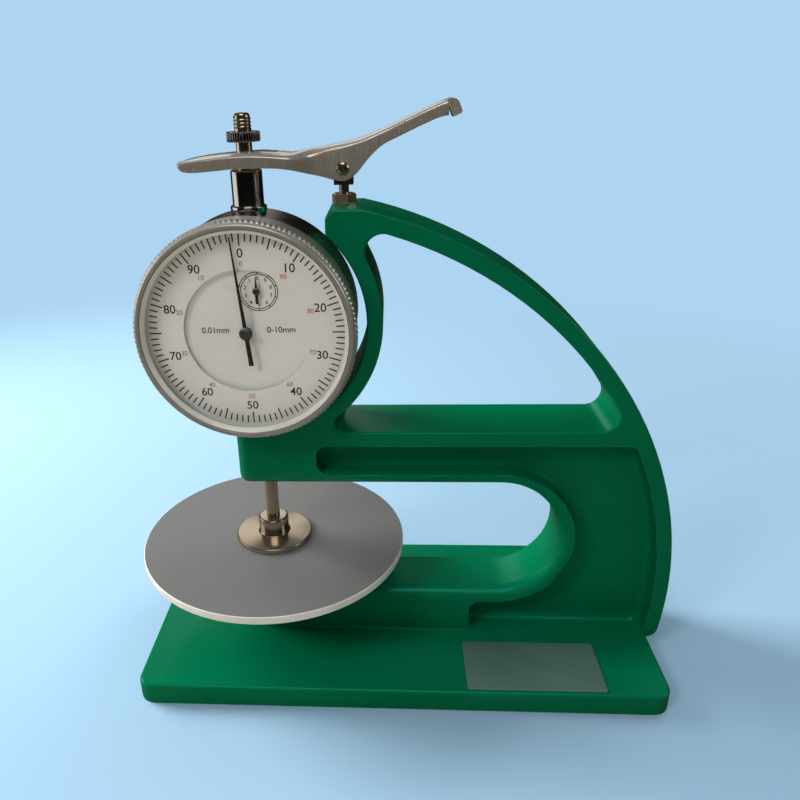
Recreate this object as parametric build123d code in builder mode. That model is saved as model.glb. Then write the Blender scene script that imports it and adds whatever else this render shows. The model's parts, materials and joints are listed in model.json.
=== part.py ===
from build123d import *
import math
import os

# Sheet thickness gauge: a dial indicator held in a cast C frame over a round measuring table.
# Millimetres. X runs from the open mouth to the closed back of the frame, Y away from the reader,
# Z up. The origin is on the underside of the base, on the axis of the indicator's spindle.

os.makedirs("parts", exist_ok=True)

# Fits that several pieces share
seat_clearance = 0.02
running_clearance = 0.03
screw_hole_clearance = 0.2

# Frame casting
base_length = 151.2
base_width = 73.0
base_thickness = 6.5
base_overhang_left = 37.2
base_corner_radius = 5.0
base_edge_radius = 1.2
frame_thickness = 20.3
web_thickness = 7.4
rail_height = 14.5
throat_radius = 18.1
throat_centre_x = 67.5
beam_depth = 17.1
nose_length = 7.5
nose_corner_radius = 4.0
nose_underside_radius = 2.5
arch_radius = 115.9
arch_centre_x = 2.6
arch_centre_rise = 0.4
arch_band = 4.4
arch_foot_radius = 3.5
arch_foot_height = 4.4
head_left_x = 20.2
head_top_z = 134.2
head_corner_radius = 3.0
rib_width = 4.25
window_round_radius = 4.5
window_corner_radius = 2.5
pocket_left_x = 15.3
pocket_floor_radius = 2.4
pocket_corner_radius = 3.2
pocket_top_band = 4.2
throat_band = 3.9
foot_slot_left_x = 60.2
casting_edge_radius = 0.8

# Name plate, left blank
plate_length = 38.6
plate_width = 19.2
plate_thickness = 0.4
plate_corner_radius = 0.8
plate_centre_x = 77.0
plate_edge_gap = 0.1

# Measuring table
table_diameter = 80.0
table_thickness = 2.4
table_edge_chamfer = 0.3
table_post_diameter = 16.0
table_post_height = 11.2
table_spigot_diameter = 8.0
table_spigot_length = 10.0
table_seat_depth = 1.0

# Spindle, foot and nut
spindle_travel = 10.0
spindle_diameter = 4.0
foot_diameter = 23.2
foot_disc_thickness = 1.5
foot_hub_diameter = 9.0
foot_hub_height = 5.4
foot_edge_chamfer = 0.3
foot_stud_diameter = 2.5
foot_stud_length = 4.0
foot_rest_gap = 0.05
nut_diameter = 8.4
nut_height = 2.4
nut_knurl_depth = 0.25
nut_knurl_count = 28
nut_bottom_z = 149.6
spindle_tip_length = 4.3
spindle_tip_round = 1.0

# Dial indicator, from its axis and its stem
dial_axis_z = 105.5
stem_diameter = 8.0
stem_fit_clearance = 0.02
stem_bore_diameter = 6.0
stem_end_inset = 1.2
stem_end_chamfer = 0.4
clamp_screw_diameter = 4.0
clamp_screw_height_in_beam = 9.5
clamp_screw_socket = 2.0
clamp_screw_socket_depth = 2.0
clamp_screw_recess = 0.4
clamp_pad_thickness = 1.0
case_diameter = 54.5
case_wall = 1.8
case_front_y = -9.4
case_back_y = 7.6
case_shoulder_diameter = 52.4
case_shoulder_front_y = -14.4
case_ledge_width = 3.4
case_ledge_thickness = 1.2
case_back_ledge_thickness = 2.6
case_edge_radius = 1.0
cover_thickness = 1.2
cover_screw_count = 4
cover_screw_diameter = 1.6
cover_screw_head_diameter = 3.0
cover_screw_head_height = 0.6
cover_screw_length = 2.2
tube_top_z = 143.0
tube_bore_diameter = 5.4
collar_diameter = 9.3
collar_height = 1.6
bush_length = 4.0

# Bezel, crystal and dial plates
bezel_diameter = 57.5
bezel_front_diameter = 55.4
bezel_opening_diameter = 50.4
bezel_front_y = -20.4
bezel_shoulder_y = -17.6
bezel_back_y = -9.7
bezel_tooth_count = 120
bezel_tooth_depth = 0.38
bezel_clearance = 0.15
bezel_edge_chamfer = 0.4
crystal_thickness = 1.5
crystal_front_recess = 0.5
crystal_seat_width = 0.9
scale_front_y = -16.4
scale_thickness = 1.0
scale_inner_diameter = 32.0
dial_step = 1.2
inner_dial_overlap = 1.6
inner_dial_thickness = 0.6
snap_wire_diameter = 0.5
snap_wire_stand_off = 0.1
snap_groove_clearance = 0.12
snap_wire_y = -12.0
snap_gap_angle = 40.0

# Movement
rack_pitch = 0.625
rack_pitch_line = 1.65
rack_overrun = 2.5
drive_pinion_teeth = 16
wheel_teeth = 100
centre_pinion_teeth = 10
tooth_addendum = 0.8
tooth_dedendum = 1.15
tooth_fill = 0.42
tooth_taper = 0.5
pinion_face = 3.2
centre_pinion_face = 1.6
wheel_thickness = 0.6
wheel_gap = 0.6
wheel_rim_width = 1.6
wheel_hub_diameter = 3.4
wheel_spoke_width = 1.4
wheel_spoke_count = 4
movement_plate_back_y = -3.2
movement_plate_thickness = 1.0
movement_plate_clearance = 0.1
bridge_thickness = 1.0
bridge_radius = 21.0
arbor_diameter = 1.2
pivot_diameter = 0.8
pivot_clearance = 0.02
arbor_shoulder_gap = 0.1
pillar_diameter = 3.0
pillar_circle_radius = 18.0
pillar_angles = (0.0, 130.0, 180.0, 310.0)
pillar_screw_diameter = 1.4
pillar_screw_length = 3.0
pillar_screw_end_gap = 0.3
pillar_tenon_diameter = 2.0
bridge_window_radius = 4.5
pillar_screw_head_diameter = 2.6
pillar_screw_head_height = 0.6
cock_gap_behind_spindle = 0.6
cock_thickness = 1.0
cock_reach = 6.0
cock_width = 5.0
cock_post_diameter = 3.4
guide_pin_diameter = 1.6
guide_pin_rest_z = 104.0
guide_gap_from_spindle = 0.8
guide_block_width = 3.2
guide_block_back_y = 2.4
guide_wall = 2.0
guide_end_gap = 0.3
guide_pin_overhang = 3.8
spring_coil_diameter = 3.0
spring_wire = 0.4
spring_turns = 9
spring_pin_gap = 0.35
spring_bottom_z = 86.0
spring_post_diameter = 1.4
hairspring_outer_radius = 4.6
hairspring_turns = 4
hairspring_strip = 0.12
hairspring_height = 0.5
hairspring_gap_from_wheel = 1.2
hairspring_stud_diameter = 1.0
hairspring_end_gap = 0.1
collet_diameter = 2.2

# Hands
main_pointer_reach = 24.2
main_pointer_tail = 8.6
main_pointer_width = 1.0
main_pointer_tail_width = 1.2
pointer_tip_width = 0.25
pointer_rest_angle = 5.2
pointer_height_above_scale = 0.7
pointer_thickness = 0.25
main_hub_diameter = 3.2
main_hub_height = 0.6
counter_hand_reach = 4.3
counter_hand_tail = 3.2
counter_hand_width = 0.7
counter_hub_diameter = 1.8

# Lever
lever_pivot_x = 24.6
lever_pivot_z = 143.0
lever_wall = 1.0
lever_left_x = -16.0
lever_tip_x = 53.2
fork_width = 12.6
fork_slot_width = 6.2
fork_slot_end_x = 9.5
fork_shoulder_x = 12.0
waist_width = 7.4
waist_start_x = 17.5
waist_end_x = 30.0
grip_width = 6.4
grip_start_x = 36.0
# Side view of the lever, as distances from its pivot: its top line, its tip and its lower edge
lever_top_points = (
    (-41.5, 1.6),
    (-32.5, 4.5),
    (-19.1, 5.3),
    (-10.4, 4.9),
    (3.2, 6.8),
    (15.4, 11.0),
    (25.8, 15.2),
)
lever_tip_point = (28.3, 13.4)
lever_under_points = (
    (-41.5, 0.1),
    (-27.1, 0.4),
    (-15.7, 0.2),
    (-9.5, -0.8),
    (0.0, -2.9),
    (6.9, 2.5),
    (15.4, 7.6),
    (26.6, 11.6),
)
pivot_pin_diameter = 2.4
pivot_head_diameter = 3.3
pivot_head_height = 0.6
stud_eye_width = 4.2
stud_eye_radius = 2.4
stud_eye_bottom_z = 139.0
stud_diameter = 3.0
stud_neck_diameter = 2.5
stud_depth_in_head = 9.0
stud_end_gap = 0.5
locknut_across_flats = 5.5
locknut_height = 2.6

# Worked out from the sizes above
base_left_x = -base_overhang_left
base_right_x = base_left_x + base_length
half_frame = frame_thickness / 2
half_web = web_thickness / 2
rail_top_z = base_thickness + rail_height
throat_centre_z = rail_top_z + throat_radius
beam_bottom_z = throat_centre_z + throat_radius
beam_top_z = beam_bottom_z + beam_depth
arch_centre_z = rail_top_z + arch_centre_rise
arch_inner_radius = arch_radius - arch_band
bezel_radius = bezel_diameter / 2
relief_gap = 1.4
relief_radius = bezel_radius + relief_gap
rib_outer_radius = relief_radius + rib_width
clamp_screw_z = beam_bottom_z + clamp_screw_height_in_beam
table_bottom_z = rail_top_z + table_post_height
table_top_z = table_bottom_z + table_thickness
foot_bottom_z = table_top_z + foot_rest_gap
foot_top_z = foot_bottom_z + foot_disc_thickness
hub_top_z = foot_top_z + foot_hub_height
spindle_radius = spindle_diameter / 2
nut_top_z = nut_bottom_z + nut_height
spindle_top_z = nut_top_z + spindle_tip_length
case_radius = case_diameter / 2
case_inner_radius = case_radius - case_wall
shoulder_radius = case_shoulder_diameter / 2
stem_radius = stem_diameter / 2
stem_bottom_z = beam_bottom_z + stem_end_inset
case_bore_bottom_z = dial_axis_z - case_inner_radius
case_bore_top_z = dial_axis_z + case_inner_radius
case_top_z = dial_axis_z + case_radius
cover_back_y = case_back_y + cover_thickness
cover_screw_circle = case_inner_radius - case_ledge_width / 2

gear_module = rack_pitch / math.pi
drive_pinion_radius = gear_module * drive_pinion_teeth / 2
wheel_radius = gear_module * wheel_teeth / 2
centre_pinion_radius = gear_module * centre_pinion_teeth / 2
centre_distance = wheel_radius + centre_pinion_radius
drive_axis_x = -(rack_pitch_line + drive_pinion_radius)
drive_axis_rise = -math.sqrt(centre_distance**2 - drive_axis_x**2)
drive_axis_z = dial_axis_z + drive_axis_rise
counter_axis_x = -drive_axis_x
counter_axis_z = dial_axis_z - drive_axis_rise
mesh_angle = math.degrees(math.atan2(-drive_axis_rise, -drive_axis_x))

movement_plate_front_y = movement_plate_back_y - movement_plate_thickness
wheel_back_y = movement_plate_front_y - wheel_gap
wheel_front_y = wheel_back_y - wheel_thickness
inner_dial_front_y = scale_front_y + dial_step
bridge_front_y = inner_dial_front_y + inner_dial_thickness
bridge_back_y = bridge_front_y + bridge_thickness
pointer_back_y = scale_front_y - pointer_height_above_scale
counter_hand_back_y = inner_dial_front_y - pointer_height_above_scale
cock_front_y = spindle_radius + cock_gap_behind_spindle
cock_back_y = cock_front_y + cock_thickness
guide_block_x = spindle_radius + guide_gap_from_spindle
guide_block_right_x = guide_block_x + guide_block_width
guide_slot_bottom_z = guide_pin_rest_z - guide_pin_diameter / 2 - guide_end_gap
guide_slot_top_z = guide_pin_rest_z + guide_pin_diameter / 2 + spindle_travel + guide_end_gap
spring_x = guide_block_right_x + guide_pin_overhang / 2
bezel_skirt_radius = shoulder_radius + bezel_clearance
crystal_radius = bezel_opening_diameter / 2 + crystal_seat_width
crystal_front_y = bezel_front_y + crystal_front_recess
crystal_back_y = crystal_front_y + crystal_thickness
snap_circle_radius = shoulder_radius + snap_wire_stand_off
snap_wire_radius = snap_wire_diameter / 2

# The rack's depth in the spindle's round side, and the width of its teeth across it
rack_tip_x = rack_pitch_line + tooth_addendum * gear_module
rack_root_x = rack_pitch_line - tooth_dedendum * gear_module

spigot_bottom_z = rail_top_z - table_spigot_length
plate_front_y = -(base_width / 2 - base_edge_radius - plate_edge_gap)
stud_bottom_z = head_top_z - stud_depth_in_head
locknut_top_z = head_top_z + locknut_height
collar_bottom_z = case_top_z + seat_clearance
ledge_radius = case_inner_radius - case_ledge_width
snap_case_groove_depth = snap_wire_radius - snap_wire_stand_off + snap_groove_clearance
snap_bezel_groove_depth = snap_circle_radius + snap_wire_radius - bezel_skirt_radius + snap_groove_clearance
pointer_front_y = pointer_back_y - pointer_thickness
counter_hand_front_y = counter_hand_back_y - pointer_thickness
pillar_bore_depth = pillar_screw_length + pillar_screw_end_gap
pillar_places = [
    (
        pillar_circle_radius * math.cos(math.radians(angle)),
        pillar_circle_radius * math.sin(math.radians(angle)),
    )
    for angle in pillar_angles
]
hairspring_back_y = wheel_front_y - hairspring_gap_from_wheel
hairspring_inner_radius = collet_diameter / 2 + hairspring_end_gap + hairspring_strip / 2
hairspring_turn_pitch = (hairspring_outer_radius - hairspring_inner_radius) / hairspring_turns
hairspring_stud_x = (
    counter_axis_x
    + hairspring_outer_radius
    + hairspring_strip / 2
    + hairspring_end_gap
    + hairspring_stud_diameter / 2
)
spring_foot_z = spring_bottom_z + spring_post_diameter / 2 + spring_wire / 2 + spring_pin_gap
spring_head_z = guide_pin_rest_z - guide_pin_diameter / 2 - spring_wire / 2 - spring_pin_gap
spring_length = spring_head_z - spring_foot_z


dial_axis = Axis((0, 0, dial_axis_z), (0, 1, 0))

# Plane for turned pieces on the dial's axis: its own x is the radius, its own y runs to the back
turned_section = Plane(origin=(0, 0, dial_axis_z), x_dir=(0, 0, 1), z_dir=(-1, 0, 0))

# Plane for turned pieces on the spindle's axis: its own x is the radius, its own y the height
upright_section = Plane.XZ


def facing(y, x=0.0, z=dial_axis_z, turn=0.0):
    """Plane that faces the reader at depth y, with its origin at x, z, turned anticlockwise."""
    angle = math.radians(turn)
    return Plane(origin=(x, y, z), x_dir=(math.cos(angle), 0, math.sin(angle)), z_dir=(0, -1, 0))


def save(piece, name):
    """Label a finished piece and write its file."""
    piece.part.label = name
    export_step(piece.part, f"parts/{name}.step")


def tooth_outline(teeth, phase_degrees):
    """Corner points of a gear with straight-flanked teeth, one tooth centred on the phase."""
    pitch_radius = gear_module * teeth / 2
    tip_radius = pitch_radius + tooth_addendum * gear_module
    root_radius = pitch_radius - tooth_dedendum * gear_module
    step = 2 * math.pi / teeth
    tip_half = step * tooth_fill / 2 * tooth_taper
    root_half = step * tooth_fill / 2 * (2 - tooth_taper)
    points = []
    for index in range(teeth):
        middle = math.radians(phase_degrees) + index * step
        for radius, turn in (
            (root_radius, -root_half),
            (tip_radius, -tip_half),
            (tip_radius, tip_half),
            (root_radius, root_half),
        ):
            points.append((radius * math.cos(middle + turn), radius * math.sin(middle + turn)))
    return points


# Pocket in each face of the casting, made as the form that the moulder's core has

with BuildPart() as pocket_core:
    with BuildSketch(Plane.XZ.offset(half_web)) as pocket_outline:
        with Locations((arch_centre_x, arch_centre_z)):
            Circle(arch_inner_radius)
        with Locations((pocket_left_x, base_thickness)):
            Rectangle(
                base_right_x,
                beam_top_z - pocket_top_band - base_thickness,
                align=(Align.MIN, Align.MIN),
                mode=Mode.INTERSECT,
            )
        with Locations((throat_centre_x, throat_centre_z)):
            Circle(throat_radius + throat_band, mode=Mode.SUBTRACT)
            Rectangle(
                2 * throat_centre_x,
                2 * (throat_radius + throat_band),
                align=(Align.MAX, Align.CENTER),
                mode=Mode.SUBTRACT,
            )
        with Locations((foot_slot_left_x, throat_centre_z)):
            Rectangle(
                2 * throat_centre_x,
                2 * (throat_centre_z - base_thickness),
                align=(Align.MAX, Align.MAX),
                mode=Mode.SUBTRACT,
            )
        fillet(pocket_outline.vertices(), pocket_corner_radius)
    extrude(amount=half_frame - half_web + 1)
    fillet(pocket_core.faces().sort_by(Axis.Y)[-1].edges(), pocket_floor_radius)

# Upright of the casting: rail, throat, column, beam with nose, arch and head

with BuildPart() as upright:
    with BuildSketch(Plane.XZ) as side_outline:
        with Locations((arch_centre_x, arch_centre_z)):
            Circle(arch_radius)
        with Locations((-nose_length, arch_foot_height)):
            Rectangle(
                2 * arch_radius,
                head_top_z - arch_foot_height,
                align=(Align.MIN, Align.MIN),
                mode=Mode.INTERSECT,
            )
        with Locations((throat_centre_x, throat_centre_z)):
            Circle(throat_radius, mode=Mode.SUBTRACT)
            Rectangle(
                2 * throat_centre_x,
                2 * throat_radius,
                align=(Align.MAX, Align.CENTER),
                mode=Mode.SUBTRACT,
            )
        with Locations((0, throat_centre_z)):
            Rectangle(
                throat_centre_z,
                throat_centre_z,
                align=(Align.MAX, Align.MAX),
                mode=Mode.SUBTRACT,
            )
        with Locations((0, dial_axis_z)):
            Circle(relief_radius, mode=Mode.SUBTRACT)
            Rectangle(
                relief_radius,
                relief_radius,
                align=(Align.MAX, Align.MAX),
                mode=Mode.SUBTRACT,
            )
        with Locations((head_left_x, dial_axis_z)):
            Rectangle(
                2 * head_left_x,
                relief_radius,
                align=(Align.MAX, Align.MIN),
                mode=Mode.SUBTRACT,
            )
        head_corner = side_outline.vertices().group_by(Axis.Y)[-1].sort_by(Axis.X)[0]
        fillet(head_corner, head_corner_radius)
        foot_corner = side_outline.vertices().group_by(Axis.Y)[0].sort_by(Axis.X)[-1]
        fillet(foot_corner, arch_foot_radius)
        nose_corner = side_outline.vertices().group_by(Axis.X)[0].sort_by(Axis.Y)[0]
        fillet(nose_corner, nose_underside_radius)
    extrude(amount=half_frame, both=True)
    with BuildSketch(Plane.XZ) as window_outline:
        with Locations((arch_centre_x, arch_centre_z)):
            Circle(arch_inner_radius)
        with Locations((0, beam_top_z)):
            Rectangle(
                2 * arch_radius,
                2 * arch_radius,
                align=(Align.MIN, Align.MIN),
                mode=Mode.INTERSECT,
            )
        with Locations((0, dial_axis_z)):
            Circle(rib_outer_radius, mode=Mode.SUBTRACT)
        fillet(window_outline.vertices().sort_by(Axis.Y)[-1], window_round_radius)
        fillet(window_outline.vertices().sort_by(Axis.X)[-1], window_round_radius)
        fillet(window_outline.vertices().group_by(Axis.Y)[0].sort_by(Axis.X)[0], window_corner_radius)
    extrude(amount=half_frame, both=True, mode=Mode.SUBTRACT)
    with BuildSketch(Plane.XY.offset(arch_foot_height)):
        Circle(half_frame)
    extrude(amount=rail_top_z - arch_foot_height)
    fillet(upright.edges().filter_by(Axis.Z).group_by(Axis.X)[0], nose_corner_radius)
    rail_end_rim = upright.edges().filter_by(GeomType.CIRCLE).filter_by_position(
        Axis.Z, rail_top_z, rail_top_z
    )
    rail_end_seams = upright.edges().filter_by(Axis.Z).filter_by_position(
        Axis.X, -seat_clearance, seat_clearance
    )
    side_rims = upright.faces().filter_by(Axis.Y).edges() - rail_end_seams
    fillet(side_rims + rail_end_rim, casting_edge_radius)
    add(pocket_core.part, mode=Mode.SUBTRACT)
    add(pocket_core.part.mirror(Plane.XZ), mode=Mode.SUBTRACT)

# Frame casting: base plate with the upright, and the holes for what it carries

with BuildPart() as frame_casting:
    with BuildSketch() as base_outline:
        with Locations((base_left_x, 0)):
            Rectangle(base_length, base_width, align=(Align.MIN, Align.CENTER))
        fillet(base_outline.vertices(), base_corner_radius)
    extrude(amount=base_thickness)
    fillet(frame_casting.faces().sort_by(Axis.Z)[-1].edges(), base_edge_radius)
    add(upright.part)
    with BuildSketch(Plane.XY.offset(throat_centre_z)):
        Circle(stem_radius + stem_fit_clearance)
    extrude(amount=beam_top_z - throat_centre_z + relief_gap, mode=Mode.SUBTRACT)
    with BuildSketch(Plane.XY.offset(spigot_bottom_z)):
        Circle(table_spigot_diameter / 2 + seat_clearance)
    extrude(amount=table_spigot_length, mode=Mode.SUBTRACT)
    with BuildSketch(Plane.XY.offset(stud_bottom_z - stud_end_gap)):
        with Locations((lever_pivot_x, 0)):
            Circle(stud_diameter / 2 + seat_clearance)
    extrude(amount=stud_depth_in_head + stud_end_gap, mode=Mode.SUBTRACT)
    with BuildSketch(facing(half_frame, 0, clamp_screw_z)):
        Circle(clamp_screw_diameter / 2 + seat_clearance)
    extrude(amount=half_frame, mode=Mode.SUBTRACT)
save(frame_casting, "frame_casting")

# Bare plate stuck on the base

with BuildPart() as blank_plate:
    with BuildSketch(Plane.XY.offset(base_thickness)) as plate_outline:
        with Locations((plate_centre_x, plate_front_y)):
            Rectangle(plate_length, plate_width, align=(Align.CENTER, Align.MIN))
        fillet(plate_outline.vertices(), plate_corner_radius)
    extrude(amount=plate_thickness)
save(blank_plate, "blank_plate")

# Measuring table on its turned post, whose spigot is screwed into the rail

with BuildPart() as table_post:
    with BuildSketch(Plane.XY.offset(rail_top_z)):
        Circle(table_post_diameter / 2)
    extrude(amount=table_post_height + table_seat_depth)
    with BuildSketch(Plane.XY.offset(spigot_bottom_z)):
        Circle(table_spigot_diameter / 2)
    extrude(amount=table_spigot_length)
save(table_post, "table_post")

with BuildPart() as table_disc:
    with BuildSketch(Plane.XY.offset(table_bottom_z)):
        Circle(table_diameter / 2)
    extrude(amount=table_thickness)
    chamfer(table_disc.edges(), table_edge_chamfer)
    with BuildSketch(Plane.XY.offset(table_bottom_z)):
        Circle(table_post_diameter / 2 + seat_clearance)
    extrude(amount=table_seat_depth, mode=Mode.SUBTRACT)
save(table_disc, "table_disc")

# Grub screw with a soft pad, which holds the indicator's stem from the back of the nose

with BuildPart() as clamp_pad:
    with BuildSketch(facing(stem_radius + clamp_pad_thickness, 0, clamp_screw_z)):
        Circle(clamp_screw_diameter / 2)
    extrude(amount=stem_radius)
    with BuildSketch(Plane.XY.offset(throat_centre_z)):
        Circle(stem_radius + stem_fit_clearance)
    extrude(amount=beam_top_z - throat_centre_z, mode=Mode.SUBTRACT)
save(clamp_pad, "clamp_pad")

with BuildPart() as stem_clamp_screw:
    with BuildSketch(facing(half_frame - clamp_screw_recess, 0, clamp_screw_z)):
        Circle(clamp_screw_diameter / 2)
    extrude(amount=half_frame - clamp_screw_recess - stem_radius - clamp_pad_thickness)
    with BuildSketch(facing(half_frame - clamp_screw_recess, 0, clamp_screw_z)):
        RegularPolygon(clamp_screw_socket / 2, 6, major_radius=False)
    extrude(amount=clamp_screw_socket_depth, mode=Mode.SUBTRACT)
save(stem_clamp_screw, "stem_clamp_screw")

# Indicator case: a turned cup, open to the front for the movement and to the back for its cover

with BuildPart() as dial_case:
    with BuildSketch(turned_section) as case_profile:
        with BuildLine():
            Polyline(
                (case_radius, case_back_y),
                (case_radius, case_front_y),
                (shoulder_radius, case_front_y),
                (shoulder_radius, case_shoulder_front_y),
                (case_inner_radius, case_shoulder_front_y),
                (case_inner_radius, movement_plate_back_y),
                (ledge_radius, movement_plate_back_y),
                (ledge_radius, movement_plate_back_y + case_ledge_thickness),
                (case_inner_radius, movement_plate_back_y + case_ledge_thickness),
                (case_inner_radius, case_back_y - case_back_ledge_thickness),
                (ledge_radius, case_back_y - case_back_ledge_thickness),
                (ledge_radius, case_back_y),
                close=True,
            )
        make_face()
        with Locations((shoulder_radius, snap_wire_y)):
            Rectangle(
                2 * snap_case_groove_depth,
                snap_wire_diameter + 2 * snap_groove_clearance,
                mode=Mode.SUBTRACT,
            )
        fillet(case_profile.vertices().group_by(Axis.X)[-1].sort_by(Axis.Y)[-1], case_edge_radius)
    revolve(axis=dial_axis)
    with BuildSketch(Plane.XY.offset(stem_bottom_z)):
        Circle(stem_radius + seat_clearance)
    extrude(amount=spindle_top_z, mode=Mode.SUBTRACT)
    with BuildSketch(facing(case_back_y)):
        with PolarLocations(cover_screw_circle, cover_screw_count, start_angle=45):
            Circle(cover_screw_diameter / 2 + seat_clearance)
    extrude(amount=case_back_ledge_thickness, mode=Mode.SUBTRACT)
save(dial_case, "dial_case")

with BuildPart() as lower_stem:
    with BuildSketch(upright_section) as stem_profile:
        with BuildLine():
            Polyline(
                (stem_bore_diameter / 2, stem_bottom_z),
                (stem_radius - stem_end_chamfer, stem_bottom_z),
                (stem_radius, stem_bottom_z + stem_end_chamfer),
                (stem_radius, case_bore_bottom_z),
                (stem_bore_diameter / 2, case_bore_bottom_z),
                close=True,
            )
        make_face()
    revolve(axis=Axis.Z)
save(lower_stem, "lower_stem")

with BuildPart() as upper_tube:
    with BuildSketch(upright_section) as tube_profile:
        with BuildLine():
            Polyline(
                (tube_bore_diameter / 2, case_bore_top_z),
                (stem_radius, case_bore_top_z),
                (stem_radius, collar_bottom_z),
                (collar_diameter / 2, collar_bottom_z),
                (collar_diameter / 2, collar_bottom_z + collar_height),
                (stem_radius, collar_bottom_z + collar_height),
                (stem_radius, tube_top_z - stem_end_chamfer),
                (stem_radius - stem_end_chamfer, tube_top_z),
                (tube_bore_diameter / 2, tube_top_z),
                close=True,
            )
        make_face()
    revolve(axis=Axis.Z)
save(upper_tube, "upper_tube")

with BuildPart() as lower_bush:
    with BuildSketch(Plane.XY.offset(stem_bottom_z)):
        Circle(stem_bore_diameter / 2)
        Circle(spindle_radius + running_clearance, mode=Mode.SUBTRACT)
    extrude(amount=bush_length)
save(lower_bush, "lower_bush")

with BuildPart() as upper_bush:
    with BuildSketch(Plane.XY.offset(tube_top_z - bush_length)):
        Circle(tube_bore_diameter / 2)
        Circle(spindle_radius + running_clearance, mode=Mode.SUBTRACT)
    extrude(amount=bush_length)
save(upper_bush, "upper_bush")

with BuildPart() as back_cover:
    with BuildSketch(facing(cover_back_y)):
        Circle(case_radius - case_edge_radius)
    extrude(amount=cover_thickness)
    chamfer(back_cover.faces().sort_by(Axis.Y)[-1].edges(), cover_thickness / 3)
    with BuildSketch(facing(cover_back_y)):
        with PolarLocations(cover_screw_circle, cover_screw_count, start_angle=45):
            Circle(cover_screw_diameter / 2 + screw_hole_clearance)
    extrude(amount=cover_thickness, mode=Mode.SUBTRACT)
save(back_cover, "back_cover")

for number in range(1, cover_screw_count + 1):
    screw_angle = math.radians(45 + 360 / cover_screw_count * number)
    screw_x = cover_screw_circle * math.cos(screw_angle)
    screw_z = dial_axis_z + cover_screw_circle * math.sin(screw_angle)
    with BuildPart() as cover_screw:
        with BuildSketch(facing(cover_back_y + cover_screw_head_height, screw_x, screw_z)):
            Circle(cover_screw_head_diameter / 2)
        extrude(amount=cover_screw_head_height)
        with BuildSketch(facing(cover_back_y, screw_x, screw_z)):
            Circle(cover_screw_diameter / 2)
        extrude(amount=cover_thickness + cover_screw_length)
    save(cover_screw, f"cover_screw_{number}")

# Bezel with a serrated rim; it turns on the case's shoulder and carries crystal and scale

with BuildPart() as bezel:
    with BuildSketch(turned_section) as bezel_profile:
        with BuildLine():
            Polyline(
                (bezel_skirt_radius, bezel_back_y),
                (bezel_radius, bezel_back_y),
                (bezel_radius, bezel_shoulder_y),
                (bezel_front_diameter / 2, bezel_shoulder_y),
                (bezel_front_diameter / 2, bezel_front_y),
                (bezel_opening_diameter / 2, bezel_front_y),
                (bezel_opening_diameter / 2, crystal_front_y),
                (crystal_radius, crystal_front_y),
                (crystal_radius, crystal_back_y),
                (bezel_skirt_radius, crystal_back_y),
                close=True,
            )
        make_face()
        with Locations((bezel_skirt_radius, snap_wire_y)):
            Rectangle(
                2 * snap_bezel_groove_depth,
                snap_wire_diameter + 2 * snap_groove_clearance,
                mode=Mode.SUBTRACT,
            )
        front_corner = bezel_profile.vertices().group_by(Axis.Y)[0].sort_by(Axis.X)[-1]
        chamfer(front_corner, bezel_edge_chamfer)
    revolve(axis=dial_axis)
    with BuildSketch(facing(bezel_back_y)):
        with PolarLocations(bezel_radius, bezel_tooth_count):
            RegularPolygon(bezel_tooth_depth, 4)
    extrude(amount=bezel_back_y - bezel_shoulder_y, mode=Mode.SUBTRACT)
save(bezel, "bezel")

with BuildPart() as bezel_snap_ring:
    with BuildSketch(turned_section):
        with Locations((snap_circle_radius, snap_wire_y)):
            Circle(snap_wire_radius)
    revolve(axis=dial_axis, revolution_arc=360 - snap_gap_angle)
save(bezel_snap_ring, "bezel_snap_ring")

with BuildPart() as crystal:
    with BuildSketch(facing(crystal_back_y)):
        Circle(crystal_radius - seat_clearance)
    extrude(amount=crystal_thickness)
save(crystal, "crystal")

with BuildPart() as scale_ring:
    with BuildSketch(facing(scale_front_y + scale_thickness)):
        Circle(bezel_skirt_radius - seat_clearance)
        Circle(scale_inner_diameter / 2, mode=Mode.SUBTRACT)
    extrude(amount=scale_thickness)
save(scale_ring, "scale_ring")

with BuildPart() as inner_dial:
    with BuildSketch(facing(bridge_front_y)):
        Circle(scale_inner_diameter / 2 + inner_dial_overlap)
        Circle(arbor_diameter / 2 + pivot_clearance, mode=Mode.SUBTRACT)
        with Locations((counter_axis_x, counter_axis_z - dial_axis_z)):
            Circle(arbor_diameter / 2 + pivot_clearance, mode=Mode.SUBTRACT)
    extrude(amount=inner_dial_thickness)
save(inner_dial, "inner_dial")

# Movement: plate on the case's inner ledge, pillars and a bridge that carries the inner dial

with BuildPart() as movement_plate:
    with BuildSketch(facing(movement_plate_back_y)):
        Circle(case_inner_radius - movement_plate_clearance)
        Circle(pivot_diameter / 2 + pivot_clearance, mode=Mode.SUBTRACT)
        with Locations((counter_axis_x, counter_axis_z - dial_axis_z)):
            Circle(pivot_diameter / 2 + pivot_clearance, mode=Mode.SUBTRACT)
        with Locations((drive_axis_x, drive_axis_z - dial_axis_z)):
            Circle(arbor_diameter / 2 + screw_hole_clearance, mode=Mode.SUBTRACT)
        with Locations(*pillar_places):
            Circle(pillar_tenon_diameter / 2 + seat_clearance, mode=Mode.SUBTRACT)
    extrude(amount=movement_plate_thickness)
save(movement_plate, "movement_plate")

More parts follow.
